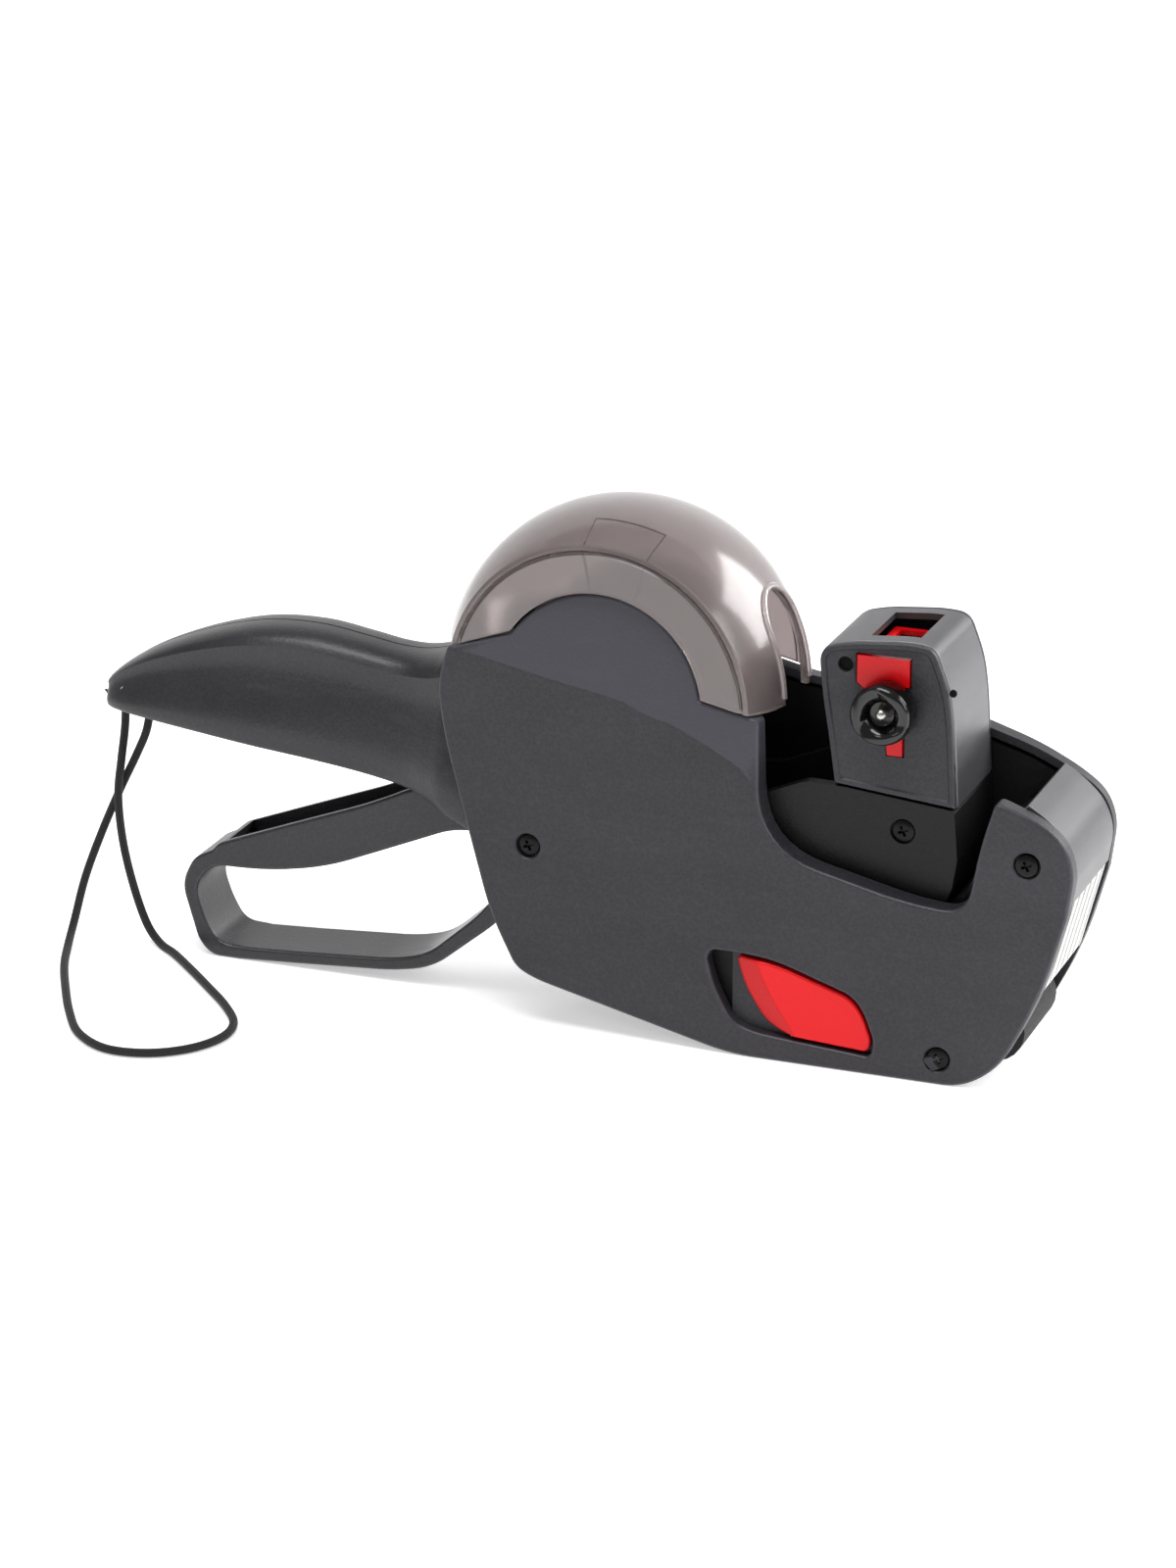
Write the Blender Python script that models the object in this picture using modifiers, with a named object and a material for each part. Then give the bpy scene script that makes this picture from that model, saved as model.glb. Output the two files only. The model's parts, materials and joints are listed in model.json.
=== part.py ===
"""A hand-held price labelling gun, standing on its flat base and on its trigger loop.

+X points to the nose, +Y to the right-hand side and +Z up. The origin is on the table, under the
middle of the gun. Dimensions are in millimetres and MM turns them into Blender's metres.
"""
import math

import bmesh
import bpy
from mathutils import Matrix, Vector

MM = 0.001
GAP = 0.3                         # running gap between neighbours
HALF_WIDTH = 22.0                 # outer faces of the side covers
COVER_WALL = 2.6
RIM_INNER = 16.0                  # the covers' rims reach in to here
RIM_WALL = 2.0
PLATE_OUTER = 17.4                # frame plates, just inside the covers
PLATE_INNER = 15.6
CORE = 15.3                       # half width of what sits between the plates
ROUND_SIDES = 20

ROLL = (10.0, 84.5)               # centre of the label roll, of the dome and of the covers' lobes
LOBE_RADIUS = 25.6
DOME_EDGE_RADIUS = 37.6
DOME_CROWN_RADIUS = 43.5
DOME_HALF_WIDTH = 21.4
DOME_WALL = 1.9
DOME_REAR_ANGLE = 164.2
DOME_HINGE = (-29.8, 95.0)
CRADLE_RADIUS = 29.5

TRIGGER = (0.0, 47.0)             # pivot of the trigger lever
TRIGGER_HALF_WIDTH = 9.0
FORK_INNER = 2.9                  # the lever's nose is a fork about the drive link
FORK_OUTER = 6.6
LINK_REAR = (20.0, 38.0)
LINK_FRONT = (62.0, 44.0)
ARM = (34.0, 56.0)                # pivot of the print arm
ARM_HALF_WIDTH = 15.0
WHEELS = (79.5, 89.0)             # axis of the digit wheels, the selector shaft and the knob
WHEEL_COUNT = 5
WHEEL_PITCH = 3.6
WHEEL_RADIUS = 9.5
BAND_RADIUS = 10.7
INK_PIVOT = (108.0, 58.0)
INK_ROLLER = (98.5, 38.0)
FEED = (58.0, 16.0)
FRONT_ROLLER = (106.5, 12.6)
DOOR_HINGE = (48.0, 5.2)
COVER_SCREWS = ((-7.0, 46.0), (115.4, 57.0), (95.6, 6.4))
HEAD_SCREW = (84.0, 59.5)

BLACK = (0.010, 0.010, 0.011, 1.0)
CHARCOAL = (0.062, 0.062, 0.068, 1.0)
GREY = (0.085, 0.085, 0.092, 1.0)
SILVER = (0.30, 0.30, 0.32, 1.0)
PALE = (0.70, 0.69, 0.68, 1.0)
RED = (0.78, 0.02, 0.03, 1.0)
STEEL = (0.45, 0.45, 0.46, 1.0)
SMOKE = (0.34, 0.27, 0.27, 1.0)
CREAM = (0.75, 0.72, 0.62, 1.0)


# ---------------------------------------------------------------- outlines

def arc(centre, radius, start, end, steps):
    """Points on a circle in the XZ plane, from one angle in degrees to another."""
    points = []
    for step in range(steps + 1):
        angle = math.radians(start + (end - start) * step / steps)
        points.append((centre[0] + radius * math.cos(angle), centre[1] + radius * math.sin(angle)))
    return points


def circle(centre, radius, sides=ROUND_SIDES):
    return arc(centre, radius, 0.0, 360.0, sides)[:-1]


def rounded(corners, steps=2):
    """Turns corners (x, z) or (x, z, radius) into an outline with round corners."""
    points = []
    count = len(corners)
    for index, corner in enumerate(corners):
        here = Vector(corner[:2])
        radius = corner[2] if len(corner) > 2 else 0.0
        before = Vector(corners[index - 1][:2]) - here
        after = Vector(corners[(index + 1) % count][:2]) - here
        if radius <= 0.0:
            points.append(tuple(here))
            continue
        half = before.angle(after) / 2.0
        reach = min(radius / math.tan(half), 0.48 * before.length, 0.48 * after.length)
        first = here + before.normalized() * reach
        last = here + after.normalized() * reach
        for step in range(steps + 1):
            t = step / steps
            points.append(tuple(first * (1 - t) ** 2 + here * 2 * t * (1 - t) + last * t * t))
    return points


def spaced(points, least=0.35):
    """The outline without points that crowd the one before them."""
    kept = []
    for point in points:
        if not kept or math.dist(point, kept[-1]) > least:
            kept.append(point)
    while math.dist(kept[0], kept[-1]) < least:
        kept.pop()
    return kept


def inset(points, distance):
    """The outline moved in by a distance; points run counter-clockwise."""
    points = spaced(points)
    moved = []
    count = len(points)
    for index in range(count):
        here = Vector(points[index])
        before = (here - Vector(points[index - 1])).normalized()
        after = (Vector(points[(index + 1) % count]) - here).normalized()
        normal_a = Vector((-before.y, before.x))
        normal_b = Vector((-after.y, after.x))
        normal = (normal_a + normal_b).normalized()
        stretch = 1.0 / max(normal.dot(normal_a), 0.5)
        moved.append(tuple(here + normal * distance * stretch))
    return [point for point in moved if distance_to(point, points) > 0.97 * abs(distance)]


def distance_to(point, outline):
    """How far a point is from the nearest edge of an outline."""
    nearest = math.inf
    place = Vector(point)
    for index in range(len(outline)):
        start, end = Vector(outline[index - 1]), Vector(outline[index])
        along = end - start
        t = min(max((place - start).dot(along) / along.length_squared, 0.0), 1.0)
        nearest = min(nearest, (start + along * t - place).length)
    return nearest


# ---------------------------------------------------------------- objects

def clear_scene():
    for obj in list(bpy.data.objects):
        bpy.data.objects.remove(obj, do_unlink=True)
    for name in ("price_labelling_gun", "cutters"):
        collection = bpy.data.collections.new(name)
        bpy.context.scene.collection.children.link(collection)
    bpy.data.collections["cutters"].hide_render = True


def finish_of(name, colour, roughness, metallic=0.0):
    material = bpy.data.materials.new(name)
    material.use_nodes = True
    shader = material.node_tree.nodes["Principled BSDF"]
    shader.inputs["Base Color"].default_value = colour
    shader.inputs["Roughness"].default_value = roughness
    shader.inputs["Metallic"].default_value = metallic
    return material


def new_object(name, mesh):
    obj = bpy.data.objects.new(name, mesh)
    bpy.data.collections["cutters"].objects.link(obj)
    obj.hide_render = True
    obj.display_type = "WIRE"
    return obj


def evaluated_mesh(obj):
    bpy.context.view_layer.update()
    graph = bpy.context.evaluated_depsgraph_get()
    return bpy.data.meshes.new_from_object(obj.evaluated_get(graph), depsgraph=graph)


def weld(mesh, distance=1e-6):
    """Joins points that coincide, drops what has no area and turns the faces outwards."""
    shape = bmesh.new()
    shape.from_mesh(mesh)
    bmesh.ops.remove_doubles(shape, verts=shape.verts, dist=distance)
    bmesh.ops.dissolve_degenerate(shape, edges=shape.edges, dist=distance)
    bmesh.ops.holes_fill(shape, edges=[e for e in shape.edges if e.is_boundary], sides=4)
    bmesh.ops.recalc_face_normals(shape, faces=shape.faces)
    shape.to_mesh(mesh)
    shape.free()


def flat(name, outline, low, high, holes=(), along="Y"):
    """An outline extruded along Y (drawn in XZ), X (drawn in YZ) or Z (drawn in XY)."""
    curve = bpy.data.curves.new(name, "CURVE")
    curve.dimensions = "2D"
    curve.fill_mode = "BOTH"
    curve.extrude = (high - low) / 2 * MM
    for loop in map(spaced, (outline, *holes)):
        spline = curve.splines.new("POLY")
        spline.points.add(len(loop) - 1)
        for point, (u, v) in zip(spline.points, loop):
            point.co = (u * MM, v * MM, 0.0, 1.0)
        spline.use_cyclic_u = True
    middle = (low + high) / 2 * MM
    place = {
        "Y": Matrix.Translation((0, middle, 0)) @ Matrix.Rotation(math.pi / 2, 4, "X"),
        "X": Matrix.Translation((middle, 0, 0)) @ Matrix(((0, 0, 1, 0), (1, 0, 0, 0),
                                                          (0, 1, 0, 0), (0, 0, 0, 1))),
        "Z": Matrix.Translation((0, 0, middle)),
    }[along]
    drawn = new_object(name, curve)
    mesh = evaluated_mesh(drawn)
    bpy.data.objects.remove(drawn, do_unlink=True)
    mesh.transform(place)
    weld(mesh)
    return new_object(name, mesh)


def drum(name, centre, radius, low, high, sides=ROUND_SIDES):
    """A solid cylinder along Y."""
    mesh = bpy.data.meshes.new(name)
    shape = bmesh.new()
    bmesh.ops.create_cone(shape, cap_ends=True, segments=sides, radius1=radius * MM,
                          radius2=radius * MM, depth=(high - low) * MM)
    shape.to_mesh(mesh)
    shape.free()
    middle = Vector((centre[0], (low + high) / 2, centre[1])) * MM
    mesh.transform(Matrix.Translation(middle) @ Matrix.Rotation(math.pi / 2, 4, "X"))
    return new_object(name, mesh)


def block(name, low, high):
    mesh = bpy.data.meshes.new(name)
    shape = bmesh.new()
    bmesh.ops.create_cube(shape, size=1.0)
    shape.to_mesh(mesh)
    shape.free()
    size = [(b - a) * MM for a, b in zip(low, high)]
    middle = [(a + b) / 2 * MM for a, b in zip(low, high)]
    mesh.transform(Matrix.Translation(middle) @ Matrix.Diagonal((*size, 1.0)))
    return new_object(name, mesh)


def settle(obj):
    """Replaces the mesh by what the modifiers make of it."""
    mesh = evaluated_mesh(obj)
    obj.modifiers.clear()
    obj.data = mesh
    return obj


def combine(obj, others, operation):
    for other in others:
        boolean = obj.modifiers.new(operation.lower(), "BOOLEAN")
        boolean.operation = operation
        boolean.solver = "EXACT"
        boolean.object = other
    settle(obj)
    weld(obj.data, 3e-6)
    return obj


def cut(obj, *cutters):
    return combine(obj, cutters, "DIFFERENCE")


def join(obj, *others):
    return combine(obj, others, "UNION")


def soften(obj, width, segments=1, angle=40.0):
    """Bevels the edges round a flat piece's two faces, each made one polygon first."""
    shape = bmesh.new()
    shape.from_mesh(obj.data)
    for side in (-1, 1):
        face = [f for f in shape.faces if f.normal.y * side > 0.999]
        bmesh.ops.dissolve_faces(shape, faces=face)
    shape.to_mesh(obj.data)
    shape.free()
    bevel = obj.modifiers.new("soft edges", "BEVEL")
    bevel.width = width * MM
    bevel.segments = segments
    bevel.use_clamp_overlap = False
    bevel.limit_method = "ANGLE"
    bevel.angle_limit = math.radians(angle)
    return settle(obj)


def mirrored(name, source):
    """The same piece on the other side of the XZ plane."""
    mesh = source.data.copy()
    mesh.transform(Matrix.Diagonal((1, -1, 1, 1)))
    mesh.flip_normals()
    return new_object(name, mesh)


def keep(obj, name, finish, pivot=None):
    """Makes this the sub-part of that name, with its origin on its pivot."""
    for collection in list(obj.users_collection):
        collection.objects.unlink(obj)
    bpy.data.collections["price_labelling_gun"].objects.link(obj)
    obj.name = name
    obj.data.name = name
    obj.hide_render = False
    obj.display_type = "TEXTURED"
    if pivot is not None:
        origin = Vector((pivot[0], 0.0, pivot[1])) * MM
        obj.data.transform(Matrix.Translation(-origin))
        obj.location = origin
    obj.data.materials.clear()
    obj.data.materials.append(finish)
    if obj.type == "MESH":
        obj.data.shade_smooth()
        obj.data.set_sharp_from_angle(angle=math.radians(35))
    return obj


# ---------------------------------------------------------------- side covers and frame

HEAD_SLOT = ((107.6, 71.6, 1.8), (104.2, 60, 10), (101.4, 43.2, 8), (88, 44.4, 8), (51.2, 53.0, 15))
PLAIN_RIM = ((107.0, 73.0, 30), (88.0, 78.6, 60), (66.0, 82.4, 40))


def cover_outline(steps=3, lobe_steps=16, top=HEAD_SLOT):
    """A side cover's outline, counter-clockwise from the rear lower corner."""
    lobe = arc(ROLL, LOBE_RADIUS, 6.5, 147.0, lobe_steps)
    return rounded((
        (-5.0, 11.8, 5), (44, 0, 6), (102, 0, 7), (110.5, 6.2, 8), (119.6, 24.5, 40),
        (125.2, 45), (126.6, 56.5, 5), (123.8, 63.6, 6), (117.5, 68, 5), *top,
        (50.2, 84.2, 1.8), *lobe, (-25.3, 94.0), (-27.4, 93.6, 1.8), (-30.2, 84, 14),
        (-28.4, 71, 30), (-23, 50), (-17, 27.5, 20), (-10.4, 14.2, 4)), steps)


BUTTON = ((46.5, 25.2, 1.5), (55, 24.6, 6), (73.6, 18.6, 4), (76.6, 15.2, 4), (79.2, 8.4, 3),
          (78.4, 5.3, 1.5), (58.5, 6.9, 8), (52.6, 9.2, 5), (47.4, 17.2, 8), (45.4, 24.2, 1))
BUTTON_WINDOW = ((39.6, 26.1, 1), (47, 26.2, 3), (55.6, 25.4, 6), (74.4, 19.3, 4),
                 (77.4, 15.6, 4), (80.1, 8.4, 3), (79.2, 4.4, 1.5), (50, 6.6, 5),
                 (44.6, 8.6, 4), (40.2, 16.9, 8), (38.4, 24, 1))


def side_cover(outline):
    """The left cover with this outline: a shell with a window for its latch button."""
    cover = flat("cover", outline, -HALF_WIDTH, -RIM_INNER)
    soften(cover, 0.7, 1, 60)
    pocket = flat("cover_pocket", inset(outline, RIM_WALL), -HALF_WIDTH + COVER_WALL, -RIM_INNER + 1)
    window = flat("button_window", rounded(BUTTON_WINDOW)[::-1], -HALF_WIDTH - 1, -RIM_INNER + 1)
    return cut(cover, pocket, window)


def side_covers(finish):
    right = mirrored("right", side_cover(cover_outline(top=PLAIN_RIM)))
    cover = side_cover(cover_outline())
    for index, place in enumerate(COVER_SCREWS):
        cut(cover, drum(f"screw_recess_{index}", place, 3.1, -23, -20.3),
            drum(f"screw_hole_{index}", place, 1.7, -21, -15, 12))
    keep(cover, "left_side_cover", finish)
    keep(right, "right_side_cover", finish)


def frame_plate(top):
    """The left frame plate that goes inside the cover with this top edge."""
    outline = inset(cover_outline(2, 8, top), RIM_WALL + 1.0)
    plate = flat("plate", outline, -PLATE_OUTER, -PLATE_INNER)
    slot = block("crossbar_slot", (65.5, -19, 10.2), (79.8, -15, 18.8))
    bores = [drum(f"plate_bore_{index}", place, radius, -19, -15)
             for index, (place, radius) in enumerate(((TRIGGER, 3.2), (ARM, 2.8), (ROLL, 3.2),
                                                      (FEED, 2.3), (FRONT_ROLLER, 2.3),
                                                      (INK_PIVOT, 1.8), (DOOR_HINGE, 1.6)))]
    return cut(plate, slot, *bores)


def frame_plates(finish):
    keep(mirrored("mirrored_plate", frame_plate(PLAIN_RIM)), "right_frame_plate", finish)
    keep(frame_plate(HEAD_SLOT), "left_frame_plate", finish)


def belly_plate(finish):
    slope = -11.8 / 49.0
    points = [(0.0, 11.6), (40.0, 11.6 + 40 * slope), (41.0, 11.6 + 41 * slope + 2.2),
              (1.0, 11.6 + slope + 2.2), (-4.0, 17.0), (-6.4, 17.0), (-4.6, 13.2)]
    keep(flat("belly", points, -CORE, CORE), "belly_plate", finish)


def nose_parts(cover_finish, guide_finish):
    outer = rounded(((114.2, 70.2), (118.6, 67.4, 4), (124.0, 62.6, 6), (126.6, 55.8, 5),
                     (125.4, 47.4)), 3)
    inner = rounded(((123.2, 47.9), (124.3, 55.4, 5), (122.3, 61.2, 6), (117.4, 65.5, 4),
                     (112.6, 68.5)), 3)
    nose = flat("nose", outer + inner, -CORE - 0.3, CORE + 0.3)
    keep(nose, "nose_cover", cover_finish)
    guide = [(124.9, 46.9), (122.6, 47.4), (117.3, 26.4), (114.9, 22.4), (116.9, 21.4), (119.5, 25.6)]
    keep(flat("guide", guide, -CORE, CORE), "label_guide", guide_finish)


# ---------------------------------------------------------------- handle

HANDLE_STATIONS = (
    # x, top, bottom, half width
    (-126.6, 66.4, 62.8, 3.0), (-125.2, 69.0, 61.6, 6.0), (-120, 73.2, 61.3, 8.8),
    (-111, 78.4, 60.8, 11.0), (-98, 83.6, 59.8, 12.7), (-84, 87.2, 58.4, 13.4),
    (-70, 87.9, 57.0, 13.2), (-58, 86.4, 55.4, 12.6), (-49, 85.0, 54.0, 12.6),
    (-42, 84.8, 52.9, 13.8), (-36, 86.0, 51.4, 16.2), (-31, 88.0, 49.2, 18.3),
    (-24, 89.0, 45.8, 18.6), (-14, 89.0, 41.0, 18.6))
HANDLE_WALL = 2.2


def handle_section(station, wall):
    """Half a section, from the top of the parting plane round the near side to the bottom."""
    x, top, bottom, half = station
    top -= wall
    bottom += wall
    half -= wall
    height = top - bottom
    shape = ((0.0, 1.0), (0.50, 0.965), (0.80, 0.80), (0.97, 0.58), (1.0, 0.36), (0.97, 0.14),
             (0.88, 0.0), (0.0, 0.0))
    return [(x, -half * u, bottom + height * v) for u, v in shape]


def half_loft(name, wall, stations, beyond):
    """A loft through the half sections, closed on the parting plane or a little beyond it."""
    mesh = bpy.data.meshes.new(name)
    shape = bmesh.new()
    rings = []
    for station in stations:
        ring = handle_section(station, wall)
        if beyond:
            ring = [(ring[0][0], beyond, ring[0][2])] + ring[1:-1] + [(ring[-1][0], beyond, ring[-1][2])]
        rings.append([shape.verts.new(Vector(point) * MM) for point in ring])
    for first, second in zip(rings, rings[1:]):
        for index in range(len(first)):
            after = (index + 1) % len(first)
            shape.faces.new((first[index], first[after], second[after], second[index]))
    shape.faces.new(rings[0])
    shape.faces.new(rings[-1])
    bmesh.ops.recalc_face_normals(shape, faces=shape.faces)
    bmesh.ops.triangulate(shape, faces=shape.faces)
    shape.to_mesh(mesh)
    shape.free()
    return new_object(name, mesh)


def handle_halves(finish):
    half = half_loft("handle", 0.0, HANDLE_STATIONS, 0.0)
    inner_stations = [(x + 0.4, *rest) for x, *rest in HANDLE_STATIONS[2:]]
    inner_stations[-1] = (-8.0, *HANDLE_STATIONS[-1][1:])
    hollow = half_loft("handle_hollow", HANDLE_WALL, inner_stations, 3.0)
    body = flat("body_clearance", inset(cover_outline(), -GAP - 0.1), -25, -CORE)
    rear_end = block("rear_end", (-17, -25, 30), (0, 25, 100))
    mouth = flat("lever_mouth", [(-100, 40), (-10, 30), (-10, 66), (-48, 60.5), (-100, 62.5)],
                 -TRIGGER_HALF_WIDTH - 0.7, 2)
    lobe_room = drum("roll_room", ROLL, CRADLE_RADIUS + 2.2, -25, 25, 32)
    cut(half, hollow, body, rear_end, mouth, lobe_room)
    ear = flat("hinge_ear", [(-31.8, 84.7), (-27.8, 84.7)] + arc(DOME_HINGE, 2.1, -15, 195, 8),
               -6.4, -3.2)
    join(half, ear)
    cut(half, drum("hinge_hole", DOME_HINGE, 1.3, -20, 5, 12),
        drum("anchor_hole", (-119.8, 66.5), 1.5, -7.5, 5, 12))
    keep(mirrored("mirrored_handle", half), "right_handle_half", finish)
    keep(half, "left_handle_half", finish)


# ---------------------------------------------------------------- trigger

def trigger_lever(finish):
    hub = 6.0
    outer = rounded((
        (-94.7, 30.2, 2), (-74, 38.2, 30), (-53, 46.2, 30), (-39, 53.2, 8), (-20, 54.4, 8),
        (TRIGGER[0] + 1, TRIGGER[1] + hub, 4), (10, 45.4, 3), (20, 42.2, 2), (24.2, 40, 2),
        (24.2, 36, 2), (20, 33.8, 2), (8, 38.2, 3), (-2, 39.4, 4), (-9.5, 35.5, 4),
        (-19, 20.6, 6), (-37.7, 5.2, 10), (-48, 2.9, 12), (-74.6, 1.0), (-90, 0.0),
        (-97.4, 0.0, 3), (-100.8, 3.4, 4), (-105.2, 18.4, 4), (-101.6, 25.6, 4), (-96.6, 28, 1)))
    finger_hole = rounded((
        (-96.6, 24.2, 4), (-82, 24.6, 20), (-66, 27.6, 30), (-42.5, 37.6, 10), (-29.6, 43.2, 8),
        (-13.6, 40.4, 5), (-22.4, 23.4, 8), (-39, 8.6, 10), (-48, 6.2, 12), (-74.6, 4.2),
        (-88, 3.4), (-95.6, 3.8, 3), (-99.2, 10, 6), (-101.6, 18, 4)))
    lever = flat("trigger", outer[::-1], -TRIGGER_HALF_WIDTH, TRIGGER_HALF_WIDTH,
                 (finger_hole,))
    channel = flat("channel", [(-92.4, 80), (-92.4, 28.6), (-82, 27.4), (-66, 30.4), (-53, 36.2),
                               (-42.5, 40.8), (-30, 47.5), (-24, 52), (-24, 80)],
                   -TRIGGER_HALF_WIDTH + 1.9, TRIGGER_HALF_WIDTH - 1.9)
    fork_start, fork_end, fork_low, fork_high = 10.4, 40.0, 20.0, 60.0
    rooms = [block(name, (fork_start, low, fork_low), (fork_end, high, fork_high))
             for name, low, high in (("link_room", -FORK_INNER, FORK_INNER),
                                     ("left_room", -30.0, -FORK_OUTER),
                                     ("right_room", FORK_OUTER, 30.0))]
    cut(lever, channel, *rooms, drum("hub_bore", TRIGGER, 3.2, -20, 20),
        drum("link_pin_bore", LINK_REAR, 1.5, -20, 20, 12))
    keep(lever, "trigger_lever", finish, TRIGGER)


def link_and_pins(link_finish, steel):
    along = Vector(LINK_FRONT) - Vector(LINK_REAR)
    heading = math.degrees(math.atan2(along.y, along.x))
    outline = (arc(LINK_REAR, 3.0, heading + 90, heading + 270, 6)
               + arc(LINK_FRONT, 3.4, heading - 90, heading + 90, 6))
    holes = (circle(LINK_REAR, 1.5, 12), circle(LINK_FRONT, 2.1, 12))
    keep(flat("link", outline, -2.4, 2.4, holes), "drive_link", link_finish, LINK_REAR)
    keep(drum("pin_a", LINK_REAR, 1.2, -6.4, 6.4, 12), "link_rear_pin", steel, LINK_REAR)
    keep(drum("pin_b", LINK_FRONT, 1.2, -14.6, 14.6, 12), "link_front_pin", steel, ARM)


# ---------------------------------------------------------------- print arm and head

def head_outline():
    return rounded((
        (66.9, 69.2), (96.7, 66.4), (95.4, 87, 10), (94.2, 95, 14), (90.4, 104.9, 7), (84, 105.4, 4),
        (70, 104.1, 6), (62.6, 102.0, 4), (63.4, 92, 10), (65.4, 80, 10)))


def print_arm(finish):
    cheek = rounded((
        (29.4, 52.6, 3), (34, 50.2, 3), (50, 47, 8), (58, 40.6, 4), (67, 40.6, 3), (69.4, 33.4, 0.5),
        (92.6, 37.6, 0.5), (96.2, 47, 2), (97.3, 54, 2), (96.3, 66.0, 0.8), (70, 68.6, 0.5),
        (60, 68.8, 4), (45, 62.6, 8), (34, 61.8, 3), (28.6, 59.6, 3)))
    arm = flat("arm", cheek, -ARM_HALF_WIDTH, ARM_HALF_WIDTH)
    tail_room = block("tail_room", (20, -12, 30), (68.4, 12, 80))
    band_room = block("band_room", (69.6, -10.4, 20), (89.4, 10.4, 80))
    upper_room = block("upper_room", (60, -11.6, 50.3), (94.6, 11.6, 80))
    cross = drum("cross", ARM, 4.4, -13.2, 13.2)
    cut(arm, tail_room, band_room, upper_room)
    join(arm, cross)
    cut(arm, drum("arm_bore", ARM, 2.9, -20, 20), drum("front_pin_bore", LINK_FRONT, 1.5, -20, 20, 12),
        drum("head_screw_recess", HEAD_SCREW, 3.1, -16, -14.0),
        drum("head_screw_hole", HEAD_SCREW, 1.5, -16, -11, 12))
    keep(arm, "print_arm", finish, ARM)


def head_shell(shell_finish, face_finish):
    outline = head_outline()
    housing = flat("housing", outline, -13.3, 13.3)
    soften(housing, 0.5, 1, 60)
    inner = rounded((
        (68.2, 60), (94.4, 60), (94.6, 67), (93.3, 87, 10), (92.1, 94.6, 14), (88.9, 103.2, 6),
        (84, 103.8, 4), (71.0, 102.7, 5), (65.2, 100.8, 3), (65.3, 92, 10), (67.0, 80, 10)))
    window = block("digit_window", (73.6, -9.2, 99), (85.6, 9.2, 110))
    cut(housing, flat("housing_hollow", inner, -20, 20), window)
    keep(housing, "head_housing", shell_finish, ARM)
    face = flat("face", inset(outline, 0.15), -ARM_HALF_WIDTH, -13.6)
    soften(face, 0.5, 1, 60)
    keep(mirrored("mirrored_face", face), "head_right_plate", face_finish, ARM)
    marker_room = flat("marker_room", marker_outline(0.4), -20, -10)
    cut(face, marker_room, drum("face_hole", (69.2, 98.6), 1.75, -20, -14.1, 12))
    keep(face, "head_left_plate", face_finish, ARM)


def marker_outline(margin):
    """The red marker's face: a bar above the knob and a tail beside it, round the shaft."""
    left, right, top = 72.0 - margin, 84.6 + margin, 101.2 + margin
    tail_left, bottom = 79.6 - margin, 77.6 - margin
    boss = arc(WHEELS, 4.4 + margin, 145, 262, 8)
    return ([(right, top), (left, top), (left, 94.6 - margin)] + boss
            + [(tail_left, bottom), (right - 1.4, bottom), (right - 1.4, 94.6 - margin),
               (right, 94.6 - margin)])


def selector(marker_finish, knob_finish, steel):
    marker = flat("marker", marker_outline(0.0), -14.6, -11.9)
    frame = block("marker_frame", (73.9, -12.5, 100.1), (84.6, 8.6, 101.2))
    opening = block("marker_opening", (75.9, -6.6, 90), (82.6, 6.6, 110))
    join(marker, frame)
    cut(marker, opening, drum("shaft_bore", WHEELS, 2.3, -20, 20))
    keep(marker, "selector_marker", marker_finish, WHEELS)
    petals = []
    for step in range(36):
        angle = math.radians(step * 10)
        radius = 7.0 + 0.65 * math.cos(6 * angle)
        petals.append((WHEELS[0] + radius * math.cos(angle), WHEELS[1] + radius * math.sin(angle)))
    knob = flat("knob", petals, -21.8, -15.4)
    soften(knob, 0.8, 1, 60)
    cut(knob, drum("knob_dish", WHEELS, 3.2, -25, -20.2))
    keep(knob, "selector_knob", knob_finish, WHEELS)
    keep(drum("shaft", WHEELS, 1.9, -15.1, 12.6, 12), "selector_shaft", steel, WHEELS)


def band_outline(within):
    """A print band: round the digit wheel above, flat and tilted at the print face below."""
    x = WHEELS[0]
    radius = BAND_RADIUS - within
    reach = 7.9 - within
    rise = 2 * reach * math.tan(math.radians(10.5))
    low = 34.2 + within
    wheel = arc(WHEELS, radius, -5, 185, 14)
    foot = rounded((wheel[-1], (x - reach, low, 1.6), (x + reach, low + rise, 1.6), wheel[0]))
    return wheel + foot[1:-1]


def digit_wheels(wheel_finish, band_finish, anvil_finish):
    for index in range(WHEEL_COUNT):
        middle = (index - (WHEEL_COUNT - 1) / 2) * WHEEL_PITCH
        low, high = middle - 1.45, middle + 1.45
        wheel = flat("wheel", circle(WHEELS, WHEEL_RADIUS), low, high, (circle(WHEELS, 2.3, 12),))
        keep(wheel, f"digit_wheel_{index + 1}", wheel_finish, WHEELS)
        band = flat("band", band_outline(0.0), low + 0.1, high - 0.1, (band_outline(1.0),))
        keep(band, f"print_band_{index + 1}", band_finish, ARM)
    anvil = flat("anvil", rounded(((72.8, 36.0, 1), (86.2, 38.5, 1), (86.2, 46, 1), (72.8, 46, 1))),
                 -10.0, 10.0)
    keep(anvil, "type_anvil", anvil_finish, ARM)


# ---------------------------------------------------------------- ink, feed and rollers

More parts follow.
